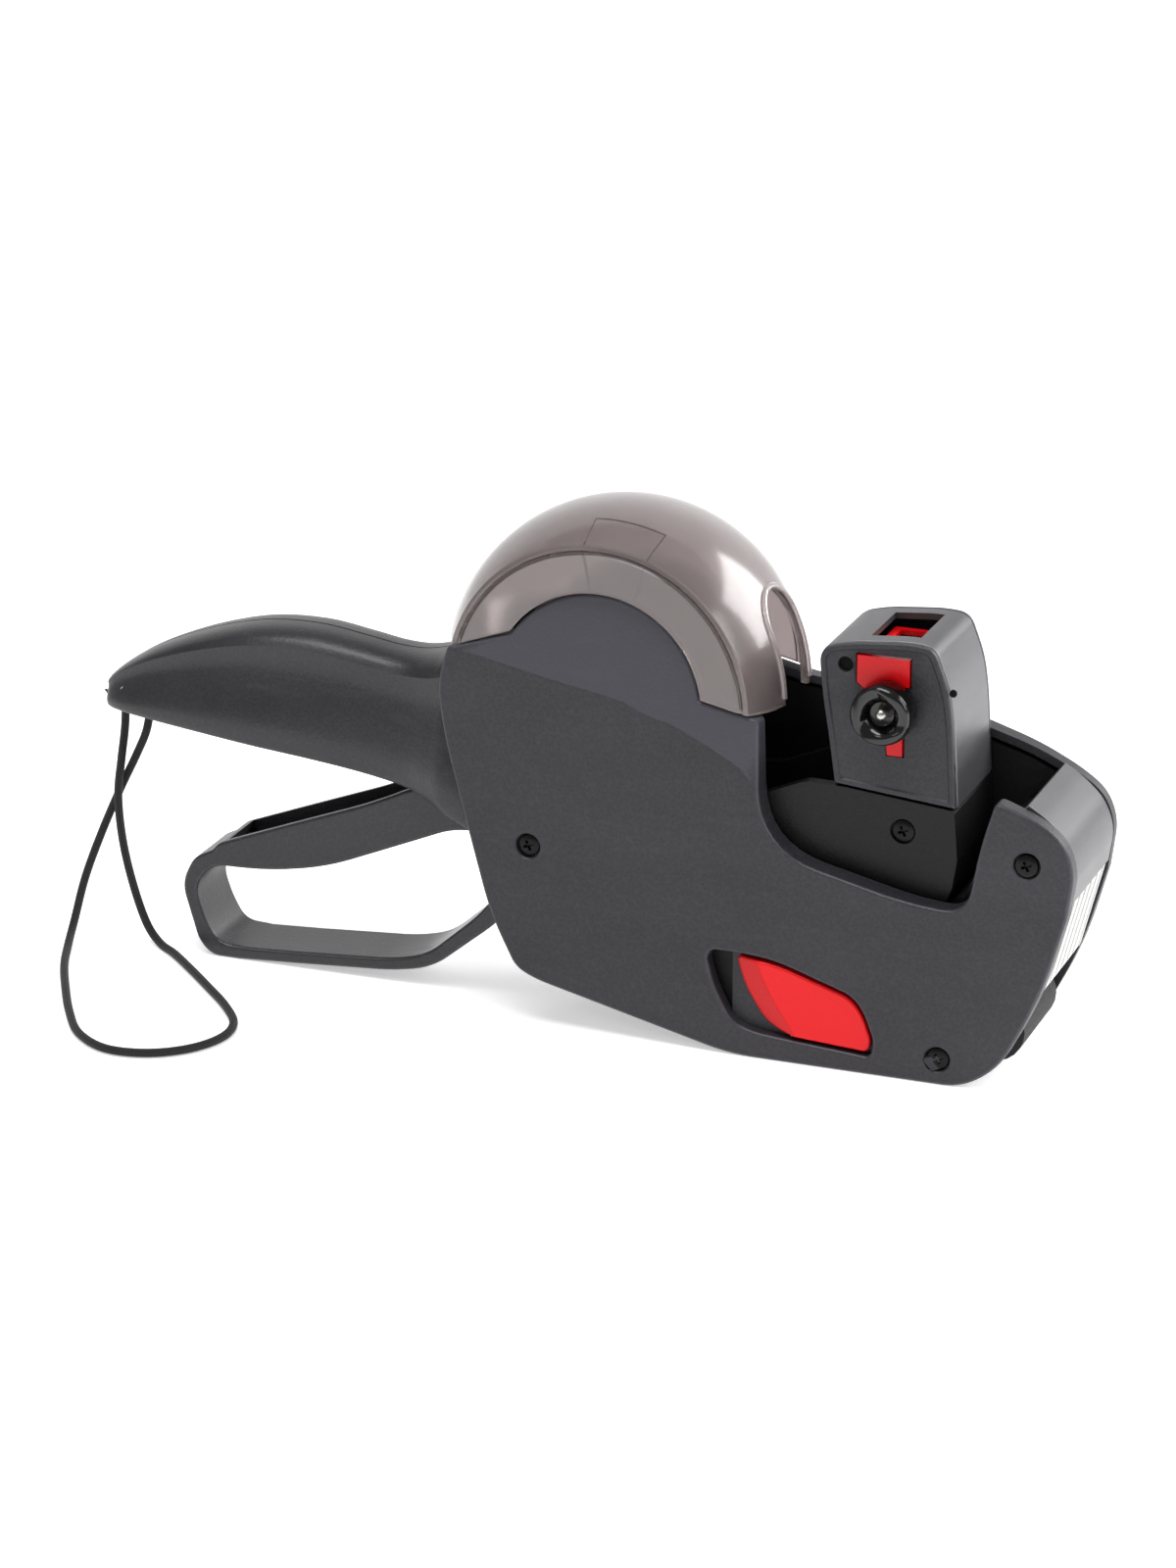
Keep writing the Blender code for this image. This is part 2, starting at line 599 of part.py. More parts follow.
def ink_parts(arm_finish, roller_finish, steel):
    outline = rounded(((104.4, 58.6, 2), (106.4, 61.6, 2), (110, 61.2, 2), (111.6, 57.4, 2),
                       (102, 36.4, 2), (98.6, 34.8, 2), (95.6, 37.4, 2), (97.2, 41, 2)))
    arm = flat("ink_arm", outline[::-1], -12.8, 12.8)
    cut(arm, block("roller_room", (90, -10.9, 30), (120, 10.9, 53.4)),
        drum("ink_bore", INK_PIVOT, 1.8, -20, 20, 12),
        drum("ink_axle_bore", INK_ROLLER, 1.7, -20, 20, 12))
    keep(arm, "ink_arm", arm_finish, INK_PIVOT)
    roller = drum("ink_roller", INK_ROLLER, 5.4, -10.4, 10.4, 24)
    join(roller, drum("ink_axle", INK_ROLLER, 1.4, -12.6, 12.6, 12))
    keep(roller, "ink_roller", roller_finish, INK_ROLLER)
    keep(drum("ink_pin", INK_PIVOT, 1.5, -17.2, 17.2, 12), "ink_arm_pin", steel, INK_PIVOT)


def feed_parts(rubber, platen_finish, steel):
    teeth, tip, root = 12, 9.0, 7.9
    outline = []
    for step in range(2 * teeth):
        angle = math.pi * step / teeth
        radius = tip if step % 2 else root
        outline.append((FEED[0] + radius * math.cos(angle), FEED[1] + radius * math.sin(angle)))
    wheel = flat("feed", outline, -9.6, 9.6)
    join(wheel, drum("feed_axle", FEED, 2.0, -17.2, 17.2, 12))
    keep(wheel, "feed_wheel", rubber, FEED)
    platen = flat("platen", rounded(((68.4, 23.4, 1), (96.2, 23.4, 0.6), (96.2, 26.4, 0.6),
                                     (68.4, 26.4, 1))), -CORE, CORE)
    keep(platen, "print_platen", platen_finish)
    peel = flat("peel", rounded(((96.8, 20.8, 0.5), (99.4, 21.4, 0.5), (99.4, 24.0, 1.2),
                                 (96.8, 24.8, 0.5))), -CORE, CORE)
    keep(peel, "peel_bar", steel)
    roller = drum("front_roller", FRONT_ROLLER, 7.9, -13.6, 13.6, 24)
    join(roller, drum("front_axle", FRONT_ROLLER, 2.0, -17.2, 17.2, 12))
    keep(roller, "applicator_roller", rubber, FRONT_ROLLER)


def roll_parts(cradle_finish, spindle_finish, steel):
    ring = (arc(ROLL, CRADLE_RADIUS, 192, 304, 14) + arc(ROLL, CRADLE_RADIUS + 1.5, 304, 192, 14))
    keep(flat("cradle", ring, -CORE, CORE), "roll_cradle", cradle_finish)
    spindle = flat("spindle", circle(ROLL, 9.5, 24), -13.6, 13.6, (circle(ROLL, 3.3, 16),))
    keep(spindle, "roll_spindle", spindle_finish, ROLL)
    keep(drum("spindle_pin", ROLL, 2.9, -17.2, 17.2, 16), "spindle_pin", steel, ROLL)


def pivot_pins(steel):
    keep(drum("trigger_pin", TRIGGER, 2.9, -17.2, 17.2, 16), "trigger_pin", steel, TRIGGER)
    keep(drum("arm_pin", ARM, 2.5, -17.2, 17.2, 16), "arm_pin", steel, ARM)
    keep(drum("hinge_pin", DOME_HINGE, 1.0, -6.3, 6.3, 12), "dome_hinge_pin", steel, DOME_HINGE)
    keep(drum("anchor", (-119.8, 66.5), 1.2, -7.2, 7.2, 12), "lanyard_anchor_pin", steel)


def return_spring(steel):
    curve = bpy.data.curves.new("return_spring", "CURVE")
    curve.dimensions = "3D"
    curve.bevel_depth = 0.6 * MM
    curve.bevel_resolution = 0
    curve.use_fill_caps = True
    spline = curve.splines.new("POLY")
    turns, per_turn = 3.5, 8
    count = int(turns * per_turn) + 1
    spline.points.add(count - 1)
    for index, point in enumerate(spline.points):
        angle = 2 * math.pi * index / per_turn
        y = 9.9 + (14.4 - 9.9) * index / (count - 1)
        point.co = ((TRIGGER[0] + 4.3 * math.cos(angle)) * MM, y * MM,
                    (TRIGGER[1] + 4.3 * math.sin(angle)) * MM, 1.0)
    keep(new_object("return_spring", curve), "return_spring", steel)


# ---------------------------------------------------------------- dome, door and latch

def crown_radius(y, edge):
    """The dome's outer radius across its width: an arc from the edge radius up to the crown."""
    rise = DOME_CROWN_RADIUS - DOME_EDGE_RADIUS
    bend = (DOME_HALF_WIDTH ** 2 + rise ** 2) / (2 * rise)
    return edge + rise - bend + math.sqrt(bend ** 2 - y ** 2)


def dome_section():
    """The dome's section as (radius, y): crown outside, then the two side walls and the inside."""
    steps = 6
    outside = []
    for step in range(steps + 1):
        y = -DOME_HALF_WIDTH + 2 * DOME_HALF_WIDTH * step / steps
        outside.append((crown_radius(y, DOME_EDGE_RADIUS), y))
    inside = []
    inner_half = DOME_HALF_WIDTH - DOME_WALL
    for step in range(steps + 1):
        y = inner_half - 2 * inner_half * step / steps
        inside.append((crown_radius(y, DOME_EDGE_RADIUS) - DOME_WALL, y))
    foot = LOBE_RADIUS + 0.4
    return ([(foot, -DOME_HALF_WIDTH)] + outside + [(foot, DOME_HALF_WIDTH), (foot, inner_half)]
            + inside + [(foot, -inner_half)])


def roll_dome(finish):
    mesh = bpy.data.meshes.new("dome")
    shape = bmesh.new()
    ring = [shape.verts.new(Vector((ROLL[0] + radius, y, ROLL[1])) * MM)
            for radius, y in dome_section()]
    face = shape.faces.new(ring)
    bmesh.ops.spin(shape, geom=[face, *face.edges, *face.verts],
                   cent=Vector((ROLL[0], 0, ROLL[1])) * MM, axis=(0, -1, 0),
                   angle=math.radians(DOME_REAR_ANGLE), steps=18, use_duplicate=False)
    bmesh.ops.recalc_face_normals(shape, faces=shape.faces)
    shape.to_mesh(mesh)
    shape.free()
    dome = new_object("dome", mesh)
    heel = flat("dome_heel", [(-34, 60), (-8, 60), (-8, 100.4), (-13.0, 98.7), (-24.6, 94.6),
                              (-34, 93.4)], -30, 30)
    foot = flat("dome_foot", [(30, 60), (60, 60), (60, 82.6), (50.4, 84.7), (35.4, 87.9), (30, 89)],
                -30, 30)
    arch = flat("dome_arch", arc((0, 101.2), 8.3, 0, 180, 12) + [(-8.3, 60), (8.3, 60)], 44, 60,
                along="X")
    knuckle = drum("knuckle", DOME_HINGE, 2.0, -2.9, 2.9, 16)
    ear_rooms = [drum(f"ear_room_{side}", DOME_HINGE, 2.9, *sorted((side * 2.9, side * 6.8)), 16)
                 for side in (-1, 1)]
    cut(dome, heel, foot, arch, *ear_rooms)
    join(dome, knuckle)
    cut(dome, drum("knuckle_bore", DOME_HINGE, 1.3, -20, 20, 12))
    keep(dome, "roll_dome", finish, DOME_HINGE)


def bottom_door(finish):
    door = flat("door", [(47.6, 0.4), (99.6, 0.4), (101.4, 2.0), (101.4, 3.0), (51, 2.6), (48, 2.6)],
                -CORE, CORE)
    barrel = drum("door_barrel", DOOR_HINGE, 2.4, -CORE, CORE, 16)
    web = block("door_web", (46.9, -CORE, 0.8), (49.1, CORE, 5.2))
    join(door, web, barrel, drum("door_axle", DOOR_HINGE, 1.3, -17.2, 17.2, 12))
    keep(door, "bottom_door", finish, DOOR_HINGE)


def latch(slide_finish, button_finish):
    plate_outline = rounded(((44.0, 27.0, 2), (50, 27.8, 2), (76, 20.4, 3), (84.0, 8, 3), (82, 3.4, 1),
                             (50, 5.4, 3), (44.0, 9, 3)))
    slide = block("crossbar", (72.0, -18.2, 12.0), (77.4, 18.2, 17.0))
    for side in (-1, 1):
        low, high = sorted((side * 17.8, side * 19.0))
        join(slide, flat(f"slide_plate_{side}", plate_outline[::-1], low, high))
    keep(slide, "latch_slide", slide_finish)
    button = flat("button", rounded(BUTTON)[::-1], -21.9, -19.3)
    soften(button, 0.8, 1, 60)
    keep(mirrored("mirrored_button", button), "right_latch_button", button_finish)
    keep(button, "left_latch_button", button_finish)


def screws(finish):
    names = ("rear", "front", "lower")
    for name, place in zip(names, COVER_SCREWS):
        head = drum("screw", place, 2.75, -21.5, -20.6)
        join(head, drum("shank", place, 1.3, -20.8, -17.8, 12))
        keep(head, f"cover_screw_{name}", finish)
    head = drum("screw", HEAD_SCREW, 2.75, -14.95, -14.3)
    join(head, drum("shank", HEAD_SCREW, 1.2, -14.5, -12.3, 12))
    keep(head, "head_screw", finish, ARM)


# ---------------------------------------------------------------- lanyard

LANYARD_DIAMETER = 2.1
LANYARD_ROUTE = (
    (-123.2, 0.0, 61.1), (-123.6, -0.2, 54.0), (-124.3, -1.4, 46.0), (-124.6, -3.2, 37.0),
    (-123.2, -4.4, 26.0), (-120.4, -5.2, 15.0), (-116.4, -6.4, 5.4), (-111.6, -8.8, 1.3),
    (-105.0, -14.0, 1.2), (-96.6, -22.0, 1.2), (-87.6, -31.0, 1.2), (-79.0, -40.0, 1.2),
    (-72.6, -49.0, 1.2), (-71.4, -58.0, 1.2), (-75.6, -67.0, 1.2), (-84.0, -73.2, 1.2),
    (-94.6, -74.2, 1.2), (-104.6, -68.0, 1.2), (-112.6, -57.0, 1.2), (-120.2, -44.0, 1.2),
    (-127.4, -30.4, 1.2), (-132.4, -18.4, 1.3), (-134.4, -10.4, 5.0), (-133.2, -6.0, 15.0),
    (-130.0, -2.6, 26.0), (-125.6, -0.2, 37.4), (-121.0, 0.4, 47.0), (-117.8, 0.1, 54.0),
    (-116.4, 0.0, 60.65))


def smooth_route(points, spacing):
    """Points at an even spacing along the Catmull-Rom curve through the given ones."""
    dense = []
    for index in range(len(points) - 1):
        p0, p1, p2, p3 = (Vector(points[min(max(index + k, 0), len(points) - 1)]) for k in (-1, 0, 1, 2))
        for step in range(8):
            t = step / 8
            dense.append(0.5 * ((2 * p1) + (p2 - p0) * t + (2 * p0 - 5 * p1 + 4 * p2 - p3) * t ** 2
                                + (3 * p1 - p0 - 3 * p2 + p3) * t ** 3))
    dense.append(Vector(points[-1]))
    length = sum((b - a).length for a, b in zip(dense, dense[1:]))
    count = round(length / spacing)
    spaced, walked, target = [dense[0]], 0.0, length / count
    for first, second in zip(dense, dense[1:]):
        step = (second - first).length
        while walked + step >= target and len(spaced) < count:
            spaced.append(first.lerp(second, (target - walked) / step))
            target += length / count
        walked += step
    return spaced + [dense[-1]]


def lanyard(finish):
    curve = bpy.data.curves.new("lanyard", "CURVE")
    curve.dimensions = "3D"
    curve.bevel_depth = LANYARD_DIAMETER / 2 * MM
    curve.bevel_resolution = 2
    curve.use_fill_caps = True
    route = smooth_route(LANYARD_ROUTE, 6.0)
    spline = curve.splines.new("POLY")
    spline.points.add(len(route) - 1)
    for point, place in zip(spline.points, route):
        point.co = (*(place * MM), 1.0)
    keep(new_object("lanyard", curve), "lanyard", finish)


def main():
    clear_scene()
    cover = finish_of("cover plastic", CHARCOAL, 0.55)
    grip = finish_of("grip plastic", GREY, 0.42)
    frame = finish_of("frame plastic", BLACK, 0.5)
    silver = finish_of("satin silver plastic", SILVER, 0.32, 0.4)
    pale = finish_of("pale guide plastic", PALE, 0.4)
    red = finish_of("red plastic", RED, 0.35)
    gloss = finish_of("gloss black plastic", BLACK, 0.12)
    steel = finish_of("steel", STEEL, 0.3, 1.0)
    smoke = finish_of("smoked plastic", SMOKE, 0.12)
    rubber = finish_of("rubber", BLACK, 0.8)
    cream = finish_of("cream band rubber", CREAM, 0.6)
    side_covers(cover)
    frame_plates(frame)
    belly_plate(frame)
    nose_parts(silver, pale)
    handle_halves(grip)
    trigger_lever(grip)
    link_and_pins(frame, steel)
    print_arm(grip)
    head_shell(silver, cover)
    selector(red, gloss, steel)
    digit_wheels(frame, cream, frame)
    ink_parts(frame, rubber, steel)
    feed_parts(rubber, frame, steel)
    roll_parts(frame, frame, steel)
    pivot_pins(steel)
    return_spring(steel)
    roll_dome(smoke)
    bottom_door(cover)
    latch(cover, red)
    screws(gloss)
    lanyard(rubber)


main()
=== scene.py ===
"""Looks for a price labelling gun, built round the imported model. +Z up, drawn in millimetres."""
import json
import math

import bmesh
import bpy
from mathutils import Matrix, Vector
from mathutils.geometry import delaunay_2d_cdt


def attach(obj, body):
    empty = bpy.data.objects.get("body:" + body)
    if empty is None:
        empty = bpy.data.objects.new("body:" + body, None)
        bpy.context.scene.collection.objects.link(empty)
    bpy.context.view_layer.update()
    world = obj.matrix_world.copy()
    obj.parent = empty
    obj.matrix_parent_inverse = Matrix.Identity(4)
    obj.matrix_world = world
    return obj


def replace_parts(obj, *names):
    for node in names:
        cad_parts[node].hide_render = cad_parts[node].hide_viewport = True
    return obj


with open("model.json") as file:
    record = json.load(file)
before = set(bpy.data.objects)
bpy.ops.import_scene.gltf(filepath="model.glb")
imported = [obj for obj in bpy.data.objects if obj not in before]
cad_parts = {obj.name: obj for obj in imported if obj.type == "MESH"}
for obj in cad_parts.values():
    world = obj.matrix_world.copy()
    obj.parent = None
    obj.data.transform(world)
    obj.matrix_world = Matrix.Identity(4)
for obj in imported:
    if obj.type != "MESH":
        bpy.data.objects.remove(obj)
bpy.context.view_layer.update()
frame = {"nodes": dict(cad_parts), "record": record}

MM = 0.001
COVER_FACE = 22.0                 # half the width over the side covers
RIM_INNER = 16.0                  # the covers' rims reach in to here
ROLL = (10.0, 84.5)               # centre of the label roll and of the dome
LOBE_RADIUS = 25.6
DOME_EDGE_RADIUS = 37.6
DOME_CROWN_RADIUS = 43.5
DOME_HALF_WIDTH = 21.4
DOME_WALL = 1.9
DOME_REAR_ANGLE = 164.2
DOME_HINGE = (-29.8, 95.0)
TRIGGER = (0.0, 47.0)
TRIGGER_HALF_WIDTH = 9.0
LINK_REAR = (20.0, 38.0)
ARM_HALF_WIDTH = 15.0
WHEELS = (79.5, 89.0)             # axis of the digit wheels and of the selector knob
WHEEL_PITCH = 3.6
COVER_SCREWS = ((-7.0, 46.0), (115.4, 57.0), (95.6, 6.4))
HEAD_SCREW = (84.0, 59.5)
CORD_DIAMETER = 2.1
TYPE_ROOT = 10.65                 # the raised figures start inside the band and end proud of it
TYPE_FACE = 11.0
STEEP_CORNER = 32.0               # faces that meet at more degrees than this keep a hard edge


# ---------------------------------------------------------------- drawing

def arc(centre, radius, start, end, steps):
    """Points along an arc, angles in degrees, both ends included."""
    points = []
    for step in range(steps + 1):
        angle = math.radians(start + (end - start) * step / steps)
        points.append((centre[0] + radius * math.cos(angle), centre[1] + radius * math.sin(angle)))
    return points


def circle(centre, radius, sides=48):
    return arc(centre, radius, 0, 360 * (sides - 1) / sides, sides - 1)


def rounded(corners, steps=8):
    """A closed outline from corners (x, z) or (x, z, radius); a radius turns a corner into a curve."""
    points = []
    count = len(corners)
    for index, corner in enumerate(corners):
        here = Vector(corner[:2])
        radius = corner[2] if len(corner) > 2 else 0.0
        before = Vector(corners[index - 1][:2]) - here
        after = Vector(corners[(index + 1) % count][:2]) - here
        if radius <= 0.0:
            points.append(tuple(here))
            continue
        reach = min(radius, before.length * 0.48, after.length * 0.48)
        first = here + before.normalized() * reach
        last = here + after.normalized() * reach
        for step in range(steps + 1):
            t = step / steps
            points.append(tuple(first * (1 - t) ** 2 + here * 2 * t * (1 - t) + last * t * t))
    return spaced(points)


def spaced(points, least=0.04):
    """The outline without points that crowd the one before them."""
    kept = []
    for point in points:
        if not kept or math.dist(point, kept[-1]) > least:
            kept.append(tuple(point))
    while math.dist(kept[0], kept[-1]) < least:
        kept.pop()
    return kept


def to_outline(point, outline):
    """How far a point is from the nearest edge of an outline."""
    nearest = math.inf
    place = Vector(point)
    for index in range(len(outline)):
        start, end = Vector(outline[index - 1]), Vector(outline[index])
        along = end - start
        t = min(max((place - start).dot(along) / along.length_squared, 0.0), 1.0)
        nearest = min(nearest, (start + along * t - place).length)
    return nearest


def inset(points, distance):
    """The outline moved in by a distance, or out by a negative one; points run counter-clockwise."""
    moved = []
    count = len(points)
    for index in range(count):
        here = Vector(points[index])
        before = (here - Vector(points[index - 1])).normalized()
        after = (Vector(points[(index + 1) % count]) - here).normalized()
        normal_a = Vector((-before.y, before.x))
        normal_b = Vector((-after.y, after.x))
        normal = (normal_a + normal_b).normalized()
        stretch = 1.0 / max(normal.dot(normal_a), 0.5)
        moved.append(tuple(here + normal * distance * stretch))
    return [point for point in moved if to_outline(point, points) > 0.97 * abs(distance)]


def evened(points, longest):
    """The outline with its long edges split, so that none is over a length."""
    split = []
    for index, point in enumerate(points):
        here, after = Vector(point), Vector(points[(index + 1) % len(points)])
        parts = max(1, math.ceil((after - here).length / longest))
        split += [tuple(here.lerp(after, part / parts)) for part in range(parts)]
    return split


def inside(point, outline):
    """Whether a point is inside a closed outline."""
    x, z = point
    found = False
    for index in range(len(outline)):
        (x1, z1), (x2, z2) = outline[index - 1], outline[index]
        if (z1 > z) != (z2 > z) and x < (x2 - x1) * (z - z1) / (z2 - z1) + x1:
            found = not found
    return found


def smooth_curve(points, per_span):
    """Points along the Catmull-Rom curve through the given ones."""
    given = [Vector(p) for p in points]
    curve = []
    for index in range(len(given) - 1):
        p0, p1, p2, p3 = (given[min(max(index + k, 0), len(given) - 1)] for k in (-1, 0, 1, 2))
        for step in range(per_span):
            t = step / per_span
            curve.append(0.5 * ((2 * p1) + (p2 - p0) * t + (2 * p0 - 5 * p1 + 4 * p2 - p3) * t ** 2
                                + (3 * p1 - p0 - 3 * p2 + p3) * t ** 3))
    return curve + [given[-1]]


def smooth_points(line):
    """A smooth line through drawn (x, z) points."""
    return [(p.x, p.y) for p in smooth_curve([(x, z, 0.0) for x, z in line], 4)]


# ---------------------------------------------------------------- pieces

def piece(name, shape, finish, body="housing", slot=None, sharp=STEEP_CORNER, scale=MM):
    """Ends a bmesh as a piece that rides on a body."""
    bmesh.ops.remove_doubles(shape, verts=shape.verts, dist=2e-4)
    bmesh.ops.recalc_face_normals(shape, faces=shape.faces)
    mesh = bpy.data.meshes.new(name)
    shape.to_mesh(mesh)
    shape.free()
    mesh.transform(Matrix.Scale(scale, 4))
    mesh.shade_smooth()
    mesh.set_sharp_from_angle(angle=math.radians(sharp))
    obj = bpy.data.objects.new(name, mesh)
    bpy.context.scene.collection.objects.link(obj)
    mesh.materials.append(finish)
    if body:
        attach(obj, body)
    return obj


def even_normals(obj):
    """Large flats keep their own normal next to narrow rounded edges."""
    even = obj.modifiers.new("even normals", "WEIGHTED_NORMAL")
    even.keep_sharp = True
    return obj


def plate_side(shape, y, into, outline, openings, edge, steps, contours, lines, lean, ground=0.0):
    """One face of a plate at y: its rounded edge, its dished contours and its creases.

    Openings are cut through ground, the depth of the dish that they are in.
    """
    places, depths, wear, edges = [], [], [], []
    worn = shape.verts.layers.float.get("worn") or shape.verts.layers.float.new("worn")

    def add(loop, depth, rubbed=0.0, closed=True):
        first = len(places)
        places.extend(Vector(p) for p in loop)
        depths.extend([depth] * len(loop))
        wear.extend([rubbed] * len(loop))
        edges.extend((first + i, first + i + 1) for i in range(len(loop) - 1))
        if closed:
            edges.append((first + len(loop) - 1, first))

    loops = [(outline, 1.0, 0.0)] + [(opening, -1.0, ground) for opening in openings]
    for loop, side, sunk in loops:
        for step in range(steps + 1 if edge else 1):
            turn = math.radians(90 * step / steps)
            run = edge * (1 - math.cos(turn))
            depth = sunk + (edge * (1 - math.sin(turn)) if edge else 0.0)
            add(inset(loop, side * run) if run > 1e-6 else loop, depth, math.sin(2 * turn))
    for loop, depth in contours:
        add(loop, depth)
    for line in lines:
        add(line, 0.0, closed=False)
    coords, _, faces, origin, _, _ = delaunay_2d_cdt(places, edges, [], 0, 1e-5)
    verts = {}

    def vert(index):
        if index not in verts:
            x, z = coords[index]
            depth = max((depths[i] for i in origin[index]), default=0.0)
            verts[index] = shape.verts.new((x, y + into * (depth + lean(x, z)), z))
            verts[index][worn] = max((wear[i] for i in origin[index]), default=0.0)
        return verts[index]

    for face in faces:
        middle = sum((coords[i] for i in face), Vector((0, 0))) / 3
        if inside(middle, outline) and not any(inside(middle, hole) for hole in openings):
            shape.faces.new([vert(i) for i in face])


def level(x, z):
    return 0.0


def plate(name, outline, face, back, finish, openings=(), edge=0.7, back_edge=0.0, steps=5,
          contours=(), lines=(), lean=level, back_contours=(), back_ground=0.0, face_ground=0.0,
          **more):
    """A closed plate drawn in XZ, from its face at one y to its back at another."""
    into = 1.0 if back > face else -1.0
    shape = bmesh.new()
    plate_side(shape, face, into, outline, openings, edge, steps, contours, lines, lean,
               face_ground)
    front = set(shape.verts)
    plate_side(shape, back, -into, outline, openings, back_edge, steps, back_contours, (), level,
               back_ground)
    rims = [e for e in shape.edges if e.is_boundary]
    partner = {}
    for e in rims:
        for v in e.verts:
            if v not in front:
                partner[(round(v.co.x, 3), round(v.co.z, 3))] = v
    for e in rims:
        a, b = e.verts
        if a in front and b in front:
            across = [partner.get((round(v.co.x, 3), round(v.co.z, 3))) for v in (b, a)]
            if None not in across:
                shape.faces.new((a, b, *across))
    return even_normals(piece(name, shape, finish, **more))


def lathe(name, profile, centre, finish, sides, **more):
    """A turned piece about a Y axis through (x, z); the profile is (radius, y)."""
    shape = bmesh.new()
    rings = []
    for radius, y in profile:
        if radius < 1e-6:
            rings.append([shape.verts.new((centre[0], y, centre[1]))] * sides)
        else:
            rings.append([shape.verts.new((p[0], y, p[1])) for p in circle(centre, radius, sides)])
    for first, second in zip(rings, rings[1:]):
        for i in range(sides):
            j = (i + 1) % sides
            corners = list(dict.fromkeys((first[i], first[j], second[j], second[i])))
            if len(corners) > 2:
                shape.faces.new(corners)
    return piece(name, shape, finish, **more)


def extruded(name, outline, low, high, along="Y"):
    """A plain solid used for cutting, drawn in XZ, or in YZ when it runs along X."""
    shape = bmesh.new()
    ends = []
    for depth in (low, high):
        ends.append([shape.verts.new((a, depth, b) if along == "Y" else (depth, a, b))
                     for a, b in outline])
    shape.faces.new(ends[0])
    shape.faces.new(ends[1][::-1])
    for i in range(len(outline)):
        j = (i + 1) % len(outline)
        shape.faces.new((ends[0][j], ends[0][i], ends[1][i], ends[1][j]))
    return cutter(name, shape)


def cutter(name, shape):
    """Ends a bmesh as a solid for cutting."""
    bmesh.ops.recalc_face_normals(shape, faces=shape.faces)
    mesh = bpy.data.meshes.new(name)
    shape.to_mesh(mesh)
    shape.free()
    mesh.transform(Matrix.Scale(MM, 4))
    obj = bpy.data.objects.new(name, mesh)
    bpy.context.scene.collection.objects.link(obj)
    return obj


def carve(obj, *cutters):
    """Cuts solids out of a piece and clears the cutters away."""
    for tool in cutters:
        step = obj.modifiers.new("carve", "BOOLEAN")
        step.operation = "DIFFERENCE"
        step.solver = "EXACT"
        step.object = tool
    bpy.context.view_layer.update()
    graph = bpy.context.evaluated_depsgraph_get()
    made = bpy.data.meshes.new_from_object(obj.evaluated_get(graph), depsgraph=graph)
    obj.modifiers.clear()
    finish = obj.data.materials[0]
    obj.data = made
    made.materials.clear()
    made.materials.append(finish)
    made.shade_smooth()
    made.set_sharp_from_angle(angle=math.radians(STEEP_CORNER))
    for tool in cutters:
        bpy.data.objects.remove(tool)
    return even_normals(obj)


def tube(name, points, radius, finish, sides, **more):
    """A round rod along a list of points, with flat ends."""
    shape = bmesh.new()
    places = [Vector(p) for p in points]
    rings = []
    side = None
    for index, place in enumerate(places):
        heading = (places[min(index + 1, len(places) - 1)] - places[max(index - 1, 0)]).normalized()
        if side is None:
            side = heading.orthogonal().normalized()
        side = (side - heading * side.dot(heading)).normalized()
        up = heading.cross(side)
        rings.append([shape.verts.new(place + radius * (side * math.cos(2 * math.pi * k / sides)
                                                        + up * math.sin(2 * math.pi * k / sides)))
                      for k in range(sides)])
    for first, second in zip(rings, rings[1:]):
        for k in range(sides):
            shape.faces.new((first[k], first[(k + 1) % sides], second[(k + 1) % sides], second[k]))
    shape.faces.new(rings[0])
    shape.faces.new(rings[-1])
    return piece(name, shape, finish, **more)


# ---------------------------------------------------------------- materials

class Value:
    """A shader socket that can be used in sums; each sum adds its Math nodes."""

    def __init__(self, recipe, socket):
        self.recipe = recipe
        self.socket = socket

    def math(self, operation, first, second=0.0):
        return self.recipe.node("Math", {"operation": operation}, {0: first, 1: second})

    def __add__(self, other):
        return self.math("ADD", self, other)

    def __sub__(self, other):
        return self.math("SUBTRACT", self, other)

    def __rsub__(self, other):
        return self.math("SUBTRACT", other, self)

    def __mul__(self, other):
        return self.math("MULTIPLY", self, other)

    __radd__ = __add__
    __rmul__ = __mul__

    def sine(self):
        return self.math("SINE", self)

    def above(self, edge, width):
        """0 below the edge, 1 above it, with a soft step of this width."""
        return self.recipe.node("MapRange", {"interpolation_type": "SMOOTHSTEP"},
                                {0: self, 1: edge - width / 2, 2: edge + width / 2})


